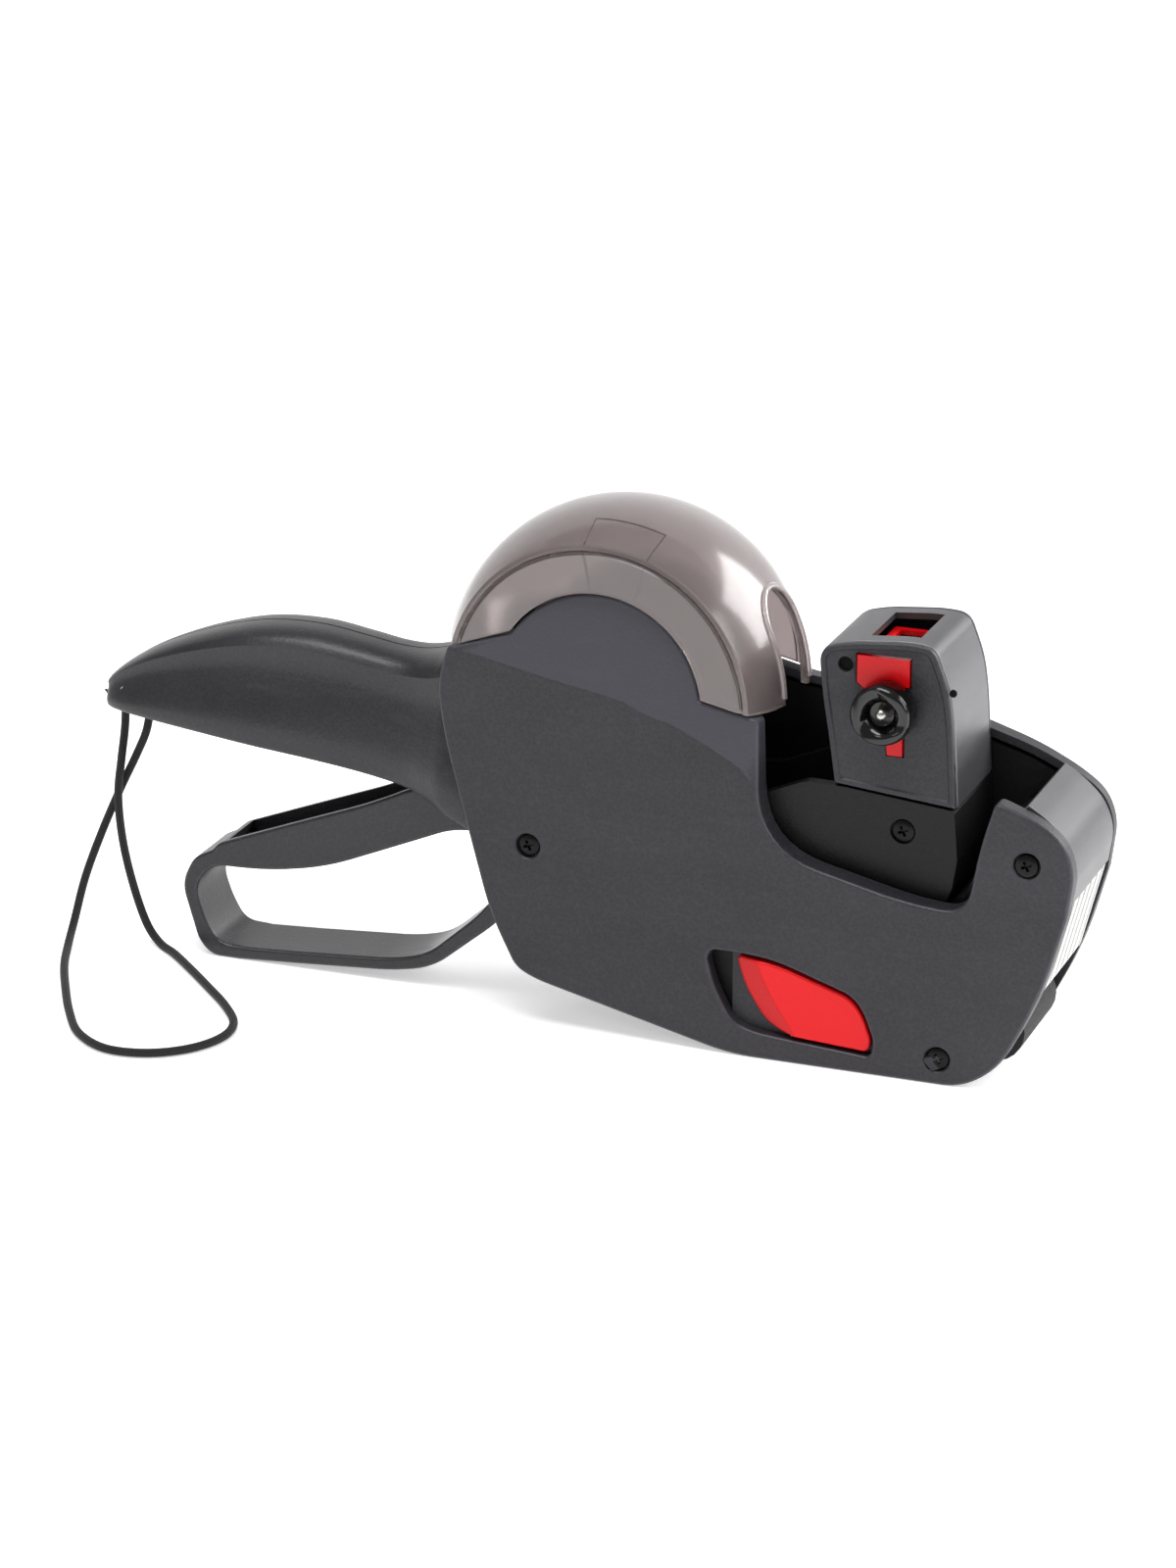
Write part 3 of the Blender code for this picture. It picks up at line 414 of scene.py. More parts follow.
class Recipe:
    """A material being made. Its shader is a Principled BSDF."""

    def __init__(self, name):
        self.material = bpy.data.materials.new(name)
        self.material.use_nodes = True
        self.tree = self.material.node_tree
        self.shader = self.tree.nodes["Principled BSDF"]

    def node(self, kind, settings=None, sockets=None, out=0):
        """Any node: its type, its settings, then the values or links of its sockets."""
        made = self.tree.nodes.new("ShaderNode" + kind)
        for key, value in (settings or {}).items():
            setattr(made, key, value)
        for key, value in (sockets or {}).items():
            self.feed(made.inputs[key], value)
        return Value(self, made.outputs[out])

    def feed(self, socket, value):
        if isinstance(value, Value):
            self.tree.links.new(value.socket, socket)
        else:
            socket.default_value = value

    def place(self, stretch=(1, 1, 1)):
        """The point on the piece, in millimetres, stretched per axis."""
        where = self.node("TexCoord", out="Object")
        return self.node("VectorMath", {"operation": "MULTIPLY"},
                         {0: where, 1: tuple(s / MM for s in stretch)})

    def mark(self, name):
        """What the mesh holds under this name: 0 where it holds nothing."""
        return self.node("Attribute", {"attribute_name": name}, out="Fac")

    def noise(self, size, detail=3.0, roughness=0.55, stretch=(1, 1, 1)):
        """Noise from 0 to 1 with features about this many millimetres across."""
        return self.node("TexNoise", None, {"Vector": self.place(stretch), "Scale": 1.0 / size,
                                            "Detail": detail, "Roughness": roughness})

    def cells(self, size):
        """Small rounded cells about this many millimetres across."""
        return self.node("TexVoronoi", None, {"Vector": self.place(), "Scale": 1.0 / size})

    def blend(self, factor, first, second):
        """A colour between two others."""
        return self.node("Mix", {"data_type": "RGBA"},
                         {"Factor": factor, "A": first, "B": second}, out=2)

    def relief(self, height, depth):
        """A bump from a height of 0 to 1, its depth in millimetres."""
        return self.node("Bump", None, {"Height": height, "Strength": 1.0,
                                        "Distance": depth * MM})

    def finish(self, **sockets):
        """Sets the shader's sockets; a name's underscores stand for spaces."""
        for key, value in sockets.items():
            self.feed(self.shader.inputs[key.replace("_", " ")], value)
        return self.material


def linear(grey):
    """The shader's linear value of a grey from 0 to 255."""
    share = grey / 255
    return share / 12.92 if share <= 0.04045 else ((share + 0.055) / 1.055) ** 2.4


def tone(grey, tint=(1.0, 1.0, 1.0)):
    """A linear colour from a grey from 0 to 255 and a tint."""
    return (*(linear(grey * t) for t in tint), 1.0)


def times(colour, factor):
    """A colour made lighter or darker."""
    return (*(min(1.0, factor * c) for c in colour[:3]), 1.0)


def moulded(name, colour, light, roughness, grain, depth=0.03, specular=0.5):
    """Textured moulding: a spark-eroded grain, flow marks, dust and scuffs.

    Its worn edges are paler and smoother. The facets marked on a mesh are painted paler, as painted light
    that stands in for the light they catch.
    """
    r = Recipe(name)
    grit = r.cells(grain)
    fine = r.noise(grain * 0.6, 2.0)
    flow = r.noise(22.0, 2.0, 0.5, (0.6, 1.0, 1.4))
    dust = r.noise(1.6, 4.0, 0.7).above(0.66, 0.10)
    scuff = r.noise(7.0, 3.0, 0.6, (0.35, 1.0, 2.2)).above(0.62, 0.12)
    worn, facet = r.mark("worn"), r.mark("facet")
    # the facet share is painted light: marked facets turn paler to stand in for the light they catch; flow
    # and grit are the moulding's own tone
    body = r.blend(flow * 0.45 + grit * 0.30 + facet * 0.85, colour, light)
    body = r.blend(dust * 0.10 + scuff * 0.05 + worn * 0.22, body, times(light, 2.1))
    return r.finish(
        Base_Color=body,
        Roughness=roughness - 0.05 + flow * 0.10 + scuff * 0.05 - worn * 0.12,
        Normal=r.relief(grit * 0.6 + fine * 0.4, depth),
        Specular_IOR_Level=specular)


def polished(name, colour, roughness, coat=0.4, ripple=0.04, specular=0.5):
    """Gloss moulding with fingerprints and a slight orange peel."""
    r = Recipe(name)
    fingerprints = r.noise(5.0, 4.0, 0.65).above(0.58, 0.2)
    fine = r.noise(0.5, 2.0)
    peel = r.noise(2.6, 2.0)
    shade = r.blend(r.noise(9.0, 2.0) * 0.5, colour, times(colour, 1.5))
    return r.finish(Base_Color=shade, Roughness=roughness + fingerprints * 0.10 + fine * 0.03,
                    Normal=r.relief(peel, ripple), Coat_Weight=coat, Coat_Roughness=0.06,
                    Specular_IOR_Level=specular)


def satin_silver(name):
    """Metallic-look plastic: fine flake in a grey base, with a soft sheen along its length."""
    r = Recipe(name)
    flake = r.cells(0.16)
    streak = r.noise(3.0, 3.0, 0.6, (1.0, 0.25, 1.0))
    dark, pale, rubbed = tone(64, (1.0, 1.0, 1.03)), tone(94, (1.0, 1.0, 1.04)), tone(200)
    body = r.blend(flake * 0.4 + streak * 0.4, dark, pale)
    body = r.blend(r.mark("worn") * 0.3, body, rubbed)
    return r.finish(Base_Color=body, Metallic=0.45, Roughness=0.28 + streak * 0.12 + flake * 0.05,
                    Normal=r.relief(flake * 0.5 + r.noise(0.5, 2.0) * 0.5, 0.012))


def smoked_clear(name, roughness, tint):
    """Smoked see-through moulding with faint flow lines and handling haze."""
    r = Recipe(name)
    haze = r.noise(9.0, 4.0, 0.6)
    scratch = r.noise(2.2, 3.0, 0.6, (0.2, 1.0, 3.0)).above(0.62, 0.08)
    body = r.blend(haze * 0.5, tint, times(tint, 0.82))
    return r.finish(Base_Color=body, Roughness=roughness + haze * 0.08 + scratch * 0.04,
                    Normal=r.relief(r.noise(9.0, 0.0), 0.008), Transmission_Weight=0.74,
                    IOR=1.47, Coat_Weight=0.6, Coat_Roughness=0.12)


def bright_steel(name):
    """Turned steel with fine rings of tool marks and small stains."""
    r = Recipe(name)
    turning = r.noise(0.25, 2.0, 0.5, (1.0, 5.0, 1.0))
    stain = r.noise(4.0, 3.0).above(0.60, 0.15)
    body = r.blend(stain * 0.4, tone(190, (1.0, 0.99, 0.97)), tone(138, (1.0, 0.96, 0.92)))
    return r.finish(Base_Color=body, Metallic=1.0, Roughness=0.24 + turning * 0.15 + stain * 0.1,
                    Normal=r.relief(turning, 0.008))


def rubber(name, colour, light):
    """Matt rubber with a fine grain and dust in it."""
    r = Recipe(name)
    grit = r.noise(0.3, 3.0)
    dust = r.noise(2.0, 4.0, 0.7).above(0.58, 0.2)
    body = r.blend(dust * 0.35 + grit * 0.2, colour, light)
    return r.finish(Base_Color=body, Roughness=0.72 + dust * 0.12, Normal=r.relief(grit, 0.05))


def braided_cord(name):
    """A braid of fine black yarn: two sets of strands that cross as they wind along the cord."""
    r = Recipe(name)
    across = r.node("SeparateXYZ", sockets={0: r.node("UVMap")}, out="X")
    along = r.node("SeparateXYZ", sockets={0: r.node("UVMap")}, out="Y")
    winds, strands, full_turn = 300.0, 4.0, 6.2832
    one = ((along * winds + across * strands) * full_turn).sine()
    two = ((along * winds - across * strands) * full_turn).sine()
    weave = (one * two) * 0.5 + 0.5
    fuzz = r.noise(0.25, 2.0)
    body = r.blend(weave * 0.7 + fuzz * 0.3, tone(5), tone(28, (1.0, 1.0, 1.02)))
    return r.finish(Base_Color=body, Roughness=0.75 + fuzz * 0.15,
                    Normal=r.relief(weave * 0.8 + fuzz * 0.2, 0.14), Sheen_Weight=0.08)


COVER = moulded("cover moulding", tone(24, (0.98, 0.97, 1.06)), tone(64, (0.98, 0.97, 1.08)),
                roughness=0.46, grain=0.85, depth=0.06, specular=0.36)
GRIP = moulded("grip moulding", tone(27, (1.0, 0.97, 1.04)), tone(60, (1.0, 0.97, 1.04)),
               roughness=0.34, grain=0.80, depth=0.05, specular=0.40)
# A darker copy of the grip moulding for the print arm: painted shade, standing in for the shadow that the
# arm sits in.
SHADED_ARM_GRIP = moulded("arm grip moulding with painted shade", tone(8), tone(26), 0.44, grain=0.6, depth=0.04, specular=0.25)
FRAME = moulded("frame moulding", tone(9), tone(17), 0.50, grain=0.5, specular=0.25)
# Black for painted shade: disks that stand in for the dark inside of the head's pin hole and notch.
HOLE_SHADE_BLACK = moulded("painted hole shade", tone(4), tone(8), 0.6, grain=0.5, specular=0.1)
SILVER = satin_silver("satin silver moulding")
PALE = moulded("pale guide moulding", tone(196, (1.0, 0.99, 0.98)), tone(214), 0.38, grain=0.4,
               depth=0.004)
RED = moulded("red moulding", tone(186, (1.0, 0.03, 0.07)), tone(228, (1.0, 0.08, 0.11)), 0.30,
              grain=0.4, depth=0.012, specular=0.26)
SCREW = polished("blackened screw", tone(3), 0.30, coat=0.0, ripple=0.004, specular=0.2)
GLOSS = polished("gloss black moulding", tone(6), 0.16, coat=0.35, ripple=0.004, specular=0.35)
STEEL = bright_steel("bright steel")
SMOKE = smoked_clear("smoked clear moulding", 0.17, (0.40, 0.335, 0.33, 1.0))
SMOKE_DARK = polished("smoked mould line", tone(70, (1.0, 0.88, 0.88)), 0.20)
SMOKE_PALE = smoked_clear("smoked lip", 0.10, (0.80, 0.70, 0.70, 1.0))
RUBBER = rubber("black rubber", tone(18), tone(38))
BAND = rubber("cream band rubber", tone(196, (1.0, 0.97, 0.88)), tone(220, (1.0, 0.98, 0.92)))
CORD = braided_cord("braided cord")


# ---------------------------------------------------------------- camera and wrist cord

def camera():
    """A long lens, from the left front and above."""
    seen_from = (0.3974, -1.0352, 0.4588)
    looks_at = Vector((0.0, 0.0, 0.0552))
    data = bpy.data.cameras.new("camera")
    data.lens = 112.5
    data.sensor_width = 36.0
    data.clip_end = 20.0
    obj = bpy.data.objects.new("camera", data)
    bpy.context.scene.collection.objects.link(obj)
    obj.location = seen_from
    obj.rotation_euler = (looks_at - obj.location).to_track_quat("-Z", "Y").to_euler()
    bpy.context.scene.camera = obj


CORD_ROUTE = (
    (-123.2, 0.0, 61.1), (-123.6, -0.2, 54.0), (-124.3, -1.4, 46.0), (-124.6, -3.2, 37.0),
    (-123.2, -4.4, 26.0), (-120.4, -5.2, 15.0), (-116.4, -6.4, 5.4), (-111.6, -8.8, 1.3),
    (-105.0, -14.0, 1.2), (-96.6, -22.0, 1.2), (-87.6, -31.0, 1.2), (-79.0, -40.0, 1.2),
    (-72.6, -49.0, 1.2), (-71.4, -58.0, 1.2), (-75.6, -67.0, 1.2), (-84.0, -73.2, 1.2),
    (-94.6, -74.2, 1.2), (-104.6, -68.0, 1.2), (-112.6, -57.0, 1.2), (-120.2, -44.0, 1.2),
    (-127.4, -30.4, 1.2), (-132.4, -18.4, 1.3), (-134.4, -10.4, 5.0), (-133.2, -6.0, 15.0),
    (-130.0, -2.6, 26.0), (-125.6, -0.2, 37.4), (-121.0, 0.4, 47.0), (-117.8, 0.1, 54.0),
    (-116.4, 0.0, 60.65))


def wrist_cord():
    """The cord as a tube with braid coordinates: round it in U, along it in V."""
    route = smooth_curve(CORD_ROUTE, 6)
    sides = 16
    shape = bmesh.new()
    layer = shape.loops.layers.uv.new("UVMap")
    rings, run, side = [], [0.0], None
    for index, place in enumerate(route):
        heading = (route[min(index + 1, len(route) - 1)] - route[max(index - 1, 0)]).normalized()
        side = heading.orthogonal().normalized() if side is None else side
        side = (side - heading * side.dot(heading)).normalized()
        up = heading.cross(side)
        rings.append([shape.verts.new(place + CORD_DIAMETER / 2
                                      * (side * math.cos(2 * math.pi * k / sides)
                                         + up * math.sin(2 * math.pi * k / sides)))
                      for k in range(sides)])
        if index:
            run.append(run[-1] + (place - route[index - 1]).length)
    total = run[-1]
    for index, (first, second) in enumerate(zip(rings, rings[1:])):
        for k in range(sides):
            face = shape.faces.new((first[k], first[(k + 1) % sides],
                                    second[(k + 1) % sides], second[k]))
            corners = ((k, index), (k + 1, index), (k + 1, index + 1), (k, index + 1))
            for loop, (turn, ring) in zip(face.loops, corners):
                loop[layer].uv = (turn / sides, run[ring] / total)
    shape.faces.new(rings[0])
    shape.faces.new(rings[-1])
    obj = piece("wrist_cord", shape, CORD, slot="lanyard_cord")
    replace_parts(obj, "lanyard")
    tuple(route[0] * MM)
    [tuple(p * MM) for p in route]
    return total


# ---------------------------------------------------------------- stage

def area_light(name, place, looks_at, size, power):
    """A white rectangle of light."""
    data = bpy.data.lights.new(name, "AREA")
    data.shape = "RECTANGLE"
    data.size, data.size_y = size
    data.energy = power
    obj = bpy.data.objects.new(name, data)
    bpy.context.scene.collection.objects.link(obj)
    obj.location = place
    obj.rotation_euler = (Vector(looks_at) - obj.location).to_track_quat("-Z", "Y").to_euler()


def sweep_floor():
    """A pale floor that curves up into a backdrop. It gives off a little light, so it reads white."""
    front, bend, radius, top = -3.0, 1.4, 0.8, 3.5
    curve = [math.radians(9 * step) for step in range(1, 11)]
    profile = [(front, 0.0), (bend, 0.0)]
    profile += [(bend + radius * math.sin(a), radius - radius * math.cos(a)) for a in curve]
    profile.append((bend + radius, top))
    shape = bmesh.new()
    rows = [[shape.verts.new((x, y, z)) for x in (-4.0, 4.0)] for y, z in profile]
    for first, second in zip(rows, rows[1:]):
        shape.faces.new((first[0], first[1], second[1], second[0]))
    r = Recipe("pale sweep")
    mottle = r.noise(60.0, 3.0)
    body = r.blend(mottle, (0.90, 0.90, 0.90, 1.0), (0.93, 0.93, 0.93, 1.0))
    white = (1.0, 1.0, 1.0, 1.0)
    finish = r.finish(Base_Color=body, Roughness=0.9 - mottle * 0.1, Specular_IOR_Level=0.1,
                      Emission_Color=white, Emission_Strength=0.46)
    piece("sweep", shape, finish, body=None, sharp=40, scale=1.0)


def studio():
    """The sweep, an even white surround and soft light from above, the rear, the right and the left."""
    sweep_floor()
    world = bpy.data.worlds.new("studio")
    bpy.context.scene.world = world
    world.use_nodes = True
    surround = world.node_tree.nodes["Background"].inputs
    surround["Color"].default_value = (1.0, 1.0, 1.0, 1.0)
    surround["Strength"].default_value = 0.30
    area_light("overhead softbox", (-0.1, -0.32, 1.25), (0.0, 0.0, 0.05), (1.0, 0.5), 11.0)
    area_light("rear right softbox", (0.85, 0.75, 0.62), (0.03, 0.0, 0.08), (0.8, 0.7), 13.0)
    area_light("right softbox", (1.1, -0.1, 0.55), (0.05, 0.0, 0.06), (0.5, 0.7), 5.0)
    area_light("left kicker", (-0.55, -0.75, 0.80), (-0.03, 0.0, 0.08), (0.22, 0.22), 1.0)


# ---------------------------------------------------------------- side covers

HEAD_SLOT = ((107.6, 71.6, 1.8), (104.2, 60, 10), (101.4, 43.2, 8), (88, 44.4, 8), (51.2, 53.0, 15))
PLAIN_RIM = ((107.0, 73.0, 30), (88.0, 78.6, 60), (66.0, 82.4, 40))


def cover_outline(top):
    """A side cover's outline; the left one's top edge is slotted for the head and the right one's isn't."""
    return rounded(
        [(-5.0, 11.8, 5), (44, 0, 6), (102, 0, 7), (110.5, 6.2, 8), (119.6, 24.5, 40),
         (125.2, 45), (126.6, 56.5, 5), (123.8, 63.6, 6), (117.5, 68, 5), *top, (50.2, 84.2, 1.8)]
        + arc(ROLL, LOBE_RADIUS, 6.5, 147.0, 60)
        + [(-25.3, 94.0), (-27.4, 93.6, 1.8), (-30.2, 84, 14), (-28.4, 71, 30), (-23, 50),
           (-17, 27.5, 20), (-10.4, 14.2, 4)])


BUTTON_WINDOW = rounded((
    (39.6, 26.1, 1), (47, 26.2, 3), (55.6, 25.4, 6), (74.4, 19.3, 4), (77.4, 15.6, 4),
    (80.1, 8.4, 3), (79.2, 4.4, 1.5), (50, 6.6, 5), (44.6, 8.6, 4), (40.2, 16.9, 8),
    (38.4, 24, 1)))[::-1]
UPPER_CREASE = ((-24.6, 93.3), (-2.2, 88.7), (17.5, 85.0), (32.2, 79.6), (49.2, 70.8))
FRONT_CREASE = ((82.1, 42.4), (86.9, 33.3), (89.6, 22.7), (90.6, 4.4))
CREASE_HALF_WIDTH = 0.6
UPPER_SLOPE = math.tan(math.radians(6.0))
FRONT_SLOPE = math.tan(math.radians(3.0))
UPPER_END = 53.0                  # the upper crease's facet ends at this x
FRONT_TOP = 44.0                  # the front crease is held upright above this z
# painted light: the paler tone painted on a facet starts this far past its crease
LIGHT_PAINT_SETBACK = 0.3                # a paler facet starts this far past its crease


def along_line(value, line, key, other):
    """The other coordinate of a line where one coordinate has this value."""
    rows = sorted((p[key], p[other]) for p in line)
    for (a, u), (b, v) in zip(rows, rows[1:]):
        if value <= b:
            break
    return u + (v - u) * (value - a) / (b - a)


def cover_lean(x, z):
    """How far the cover's face falls back above its upper crease and before its front one."""
    upper = z - along_line(x, UPPER_CREASE, 0, 1) if x < UPPER_END else 0.0
    front = x - along_line(min(z, FRONT_TOP), FRONT_CREASE, 1, 0)
    return max(0.0, upper) * UPPER_SLOPE + max(0.0, front) * FRONT_SLOPE


def creased(line, ring, across):
    """A crease and the two lines beside it that keep its bend narrow, each ending on a ring."""
    shift_x, shift_z = across
    return [to_edge(smooth_points([(x + k * shift_x, z + k * shift_z) for x, z in line]), ring)
            for k in (-CREASE_HALF_WIDTH, 0.0, CREASE_HALF_WIDTH)]


def to_edge(line, ring):
    """A crease whose ends are moved to the nearest points of a ring."""
    ends = [min(ring, key=lambda p: math.dist(p, end)) for end in (line[0], line[-1])]
    return [ends[0], *line[1:-1], ends[1]]


def screw_well(place):
    """The rings of a round well for a sunk screw head."""
    return [(circle(place, 3.35), 0.0), (circle(place, 3.10), 0.3), (circle(place, 3.02), 1.6)]


def paint_light_where(obj, test):
    """Marks the part of a plate, by x and z, that takes painted light: a paler tone that stands in for the
    light it catches.
    """
    paler = obj.data.attributes.new("facet", "FLOAT", "POINT")
    for vertex, mark in zip(obj.data.vertices, paler.data):
        mark.value = float(test(vertex.co.x / MM, vertex.co.z / MM))
    return obj


def side_cover(name, top, side, wells=()):
    """A hollow cover whose face is creased, with the window of its latch button."""
    outline, edge, hollow = cover_outline(top), 0.9, 2.2
    ring = inset(outline, edge)
    creases = creased(UPPER_CREASE, ring, (0.3, 1.0)) + creased(FRONT_CREASE, ring, (1.0, 0.2))
    pocket = [(inset(outline, 1.95), 0.0), (inset(outline, 2.05), hollow)]
    cover = plate(name, outline, side * COVER_FACE, side * RIM_INNER, COVER, contours=wells,
                  openings=(BUTTON_WINDOW,), edge=edge, steps=6, lines=creases, lean=cover_lean,
                  back_contours=pocket, back_ground=hollow, slot="cover_plastic")

    # Painted light: the face above the upper crease is painted paler, standing in for the light that the
    # leaned facet catches.
    def painted_light_above_crease(x, z):
        return x < UPPER_END and z > along_line(x, UPPER_CREASE, 0, 1) + LIGHT_PAINT_SETBACK

    return paint_light_where(cover, painted_light_above_crease)


def side_covers():
    """The left cover is slotted for the head and holds the screws; the right one is plain."""
    wells = [ring for place in COVER_SCREWS for ring in screw_well(place)]
    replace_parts(side_cover("left_cover", HEAD_SLOT, -1, wells), "left_side_cover")
    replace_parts(side_cover("right_cover", PLAIN_RIM, 1), "right_side_cover")


# ---------------------------------------------------------------- handle

HANDLE_STATIONS = (
    # x, top, bottom, half width
    (-126.6, 66.4, 62.8, 3.0), (-125.2, 69.0, 61.6, 6.0), (-120, 73.2, 61.3, 8.8),
    (-111, 78.4, 60.8, 11.0), (-98, 83.6, 59.8, 12.7), (-84, 87.2, 58.4, 13.4),
    (-70, 87.9, 57.0, 13.2), (-58, 86.4, 55.4, 12.6), (-49, 85.0, 54.0, 12.6),
    (-42, 84.8, 52.9, 13.8), (-36, 86.0, 51.4, 16.2), (-31, 88.0, 49.2, 18.3),
    (-24, 89.0, 45.8, 18.6), (-20.5, 89.0, 43.4, 18.6))
HANDLE_WALL = 2.2
CREST = ((0.0, 1.0), (0.28, 0.994), (0.50, 0.972), (0.68, 0.93), (0.79, 0.875))
FLANK = ((0.79, 0.875), (0.765, 0.83), (0.745, 0.77), (0.755, 0.68), (0.805, 0.57), (0.88, 0.44),
         (0.95, 0.31), (0.995, 0.19), (0.99, 0.09), (0.95, 0.02), (0.90, 0.0))


def handle_section(x, top, bottom, half):
    """One half of a section: crest from the seam to the ridge, hollow flank, flat underside."""
    height = top - bottom
    crest, flank = (smooth_curve([(u, v, 0) for u, v in line], 3) for line in (CREST, FLANK))
    profile = crest[:-1] + flank
    points = [Vector((x, -max(half * p.x, 0.30), bottom + height * p.y)) for p in profile]
    seam = Vector((x, -0.05, points[0].z - 0.35))
    lip = min(TRIGGER_HALF_WIDTH + 0.7, half * 0.86)
    under = [Vector((x, -y, bottom)) for y in (lip, lip * 0.6, 2.2 if half > 3.2 else 1.4, 0.05)]
    return [seam] + points + under


def handle_half(name, node, side):
    """One moulding of the grip, open below for the trigger and slit for the cord."""
    stations = [tuple(p) for p in smooth_curve([Vector(s) for s in HANDLE_STATIONS], 6)]
    shape = bmesh.new()
    rings = []
    for station in stations:
        ring = handle_section(*station)
        rings.append([shape.verts.new((p.x, p.y * side, p.z)) for p in ring])
    count = len(rings[0])
    for first, second in zip(rings, rings[1:]):
        x = (first[0].co.x + second[0].co.x) / 2
        for i in range(count - 1):
            mouth = i >= count - 4 and x > -98.5
            slit = i >= count - 2 and -125.2 < x < -114.2
            if not mouth and not slit:
                shape.faces.new((first[i], first[i + 1], second[i + 1], second[i]))
    shape.faces.new(rings[0])
    obj = piece(name, shape, GRIP, slot="grip_plastic", sharp=38)
    wall = obj.modifiers.new("wall", "SOLIDIFY")
    wall.thickness = HANDLE_WALL * MM
    wall.offset = -1.0
    even_normals(obj)
    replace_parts(obj, node)


def hinge_ears():
    """The two ears of the handle that carry the dome's hinge pin."""
    outline = ([(-31.8, 84.7), (-27.8, 84.7)] + arc(DOME_HINGE, 2.1, -15, 195, 20))
    for name, near, far in (("left_hinge_ear", -6.4, -3.2), ("right_hinge_ear", 6.4, 3.2)):
        plate(name, outline, near, far, GRIP, edge=0.4, back_edge=0.4, steps=3, slot="grip_plastic")


# ---------------------------------------------------------------- trigger

LEVER_OUTLINE = rounded((
    (-94.7, 30.2, 2), (-74, 38.2, 30), (-53, 46.2, 30), (-39, 53.2, 8), (-20, 54.4, 8),
    (1, 53, 4), (10, 45.4, 3), (20, 42.2, 2), (24.2, 40, 2),
    (24.2, 36, 2), (20, 33.8, 2), (8, 38.2, 3), (-2, 39.4, 4), (-9.5, 35.5, 4),
    (-19, 20.6, 6), (-37.7, 5.2, 10), (-48, 2.9, 12), (-74.6, 1.0), (-90, 0.0),
    (-97.4, 0.0, 3), (-100.8, 3.4, 4), (-105.2, 18.4, 4), (-101.6, 25.6, 4), (-96.6, 28, 1)))[::-1]
FINGER_HOLE = rounded((
    (-96.6, 24.2, 4), (-82, 24.6, 20), (-66, 27.6, 30), (-42.5, 37.6, 10), (-29.6, 43.2, 8),
    (-13.6, 40.4, 5), (-22.4, 23.4, 8), (-39, 8.6, 10), (-48, 6.2, 12), (-74.6, 4.2),
    (-88, 3.4), (-95.6, 3.8, 3), (-99.2, 10, 6), (-101.6, 18, 4)))[::-1]


def box_cutter(name, low, high):
    """A box for cutting, between two corners."""
    shape = bmesh.new()
    bmesh.ops.create_cube(shape, size=1.0)
    for v in shape.verts:
        v.co = Vector(low[i] + (high[i] - low[i]) * (v.co[i] + 0.5) for i in range(3))
    return cutter(name, shape)


def trigger():
    """The lever with its finger loop, channelled above and forked for the link."""
    lever = plate("trigger_lever_moulding", LEVER_OUTLINE, -TRIGGER_HALF_WIDTH,
                  TRIGGER_HALF_WIDTH, GRIP, openings=(FINGER_HOLE,), edge=0.9, back_edge=0.9,
                  steps=4, body="trigger", slot="grip_plastic")
    lever.modifiers.clear()
    channel = [(-92.4, 80), (-92.4, 28.6), (-82, 27.4), (-66, 30.4), (-53, 36.2), (-42.5, 40.8),
               (-30, 47.5), (-24, 52), (-24, 80)]
    carve(lever, extruded("channel", channel, -7.1, 7.1),
          box_cutter("link_room", (10.4, -2.9, 20), (40, 2.9, 60)),
          box_cutter("left_room", (10.4, -30, 20), (40, -6.6, 60)),
          box_cutter("right_room", (10.4, 6.6, 20), (40, 30, 60)),
          extruded("hub_bore", circle(TRIGGER, 3.2), -20, 20),
          extruded("pin_bore", circle(LINK_REAR, 1.5), -20, 20))
    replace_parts(lever, "trigger_lever")
    # A dark sheet on the channel's floor: painted shade for the dark inside of the deep channel.
    floor = [(-92.2, 28.9), (-82, 27.7), (-66, 30.7), (-53, 36.5), (-42.5, 41.1), (-30, 47.8),
             (-24.2, 52.1)]
    shade_sheet = bmesh.new()
    rows = [[shade_sheet.verts.new((x, y, z + 0.05)) for y in (-7.0, 7.0)] for x, z in floor]
    for first, second in zip(rows, rows[1:]):
        shade_sheet.faces.new((first[0], first[1], second[1], second[0]))
    piece("channel_shade_sheet", shade_sheet, FRAME, body="trigger", slot="grip_plastic")


# ---------------------------------------------------------------- roll dome

ARCH_CENTRE = 101.2               # height of the arch's centre
ARCH_RADIUS = 8.3
LIP_RADIUS = 9.0
LIP_FOOT = 86.4
LINE_SINK = -0.12                 # mould lines lie this far in the crown's face


def crown_radius(y, edge):
    """The dome's radius across its width: an arc from the edge radius up to the crown."""
    rise = DOME_CROWN_RADIUS - DOME_EDGE_RADIUS
    bend = (DOME_HALF_WIDTH ** 2 + rise ** 2) / (2 * rise)
    return edge + rise - bend + math.sqrt(bend ** 2 - y ** 2)


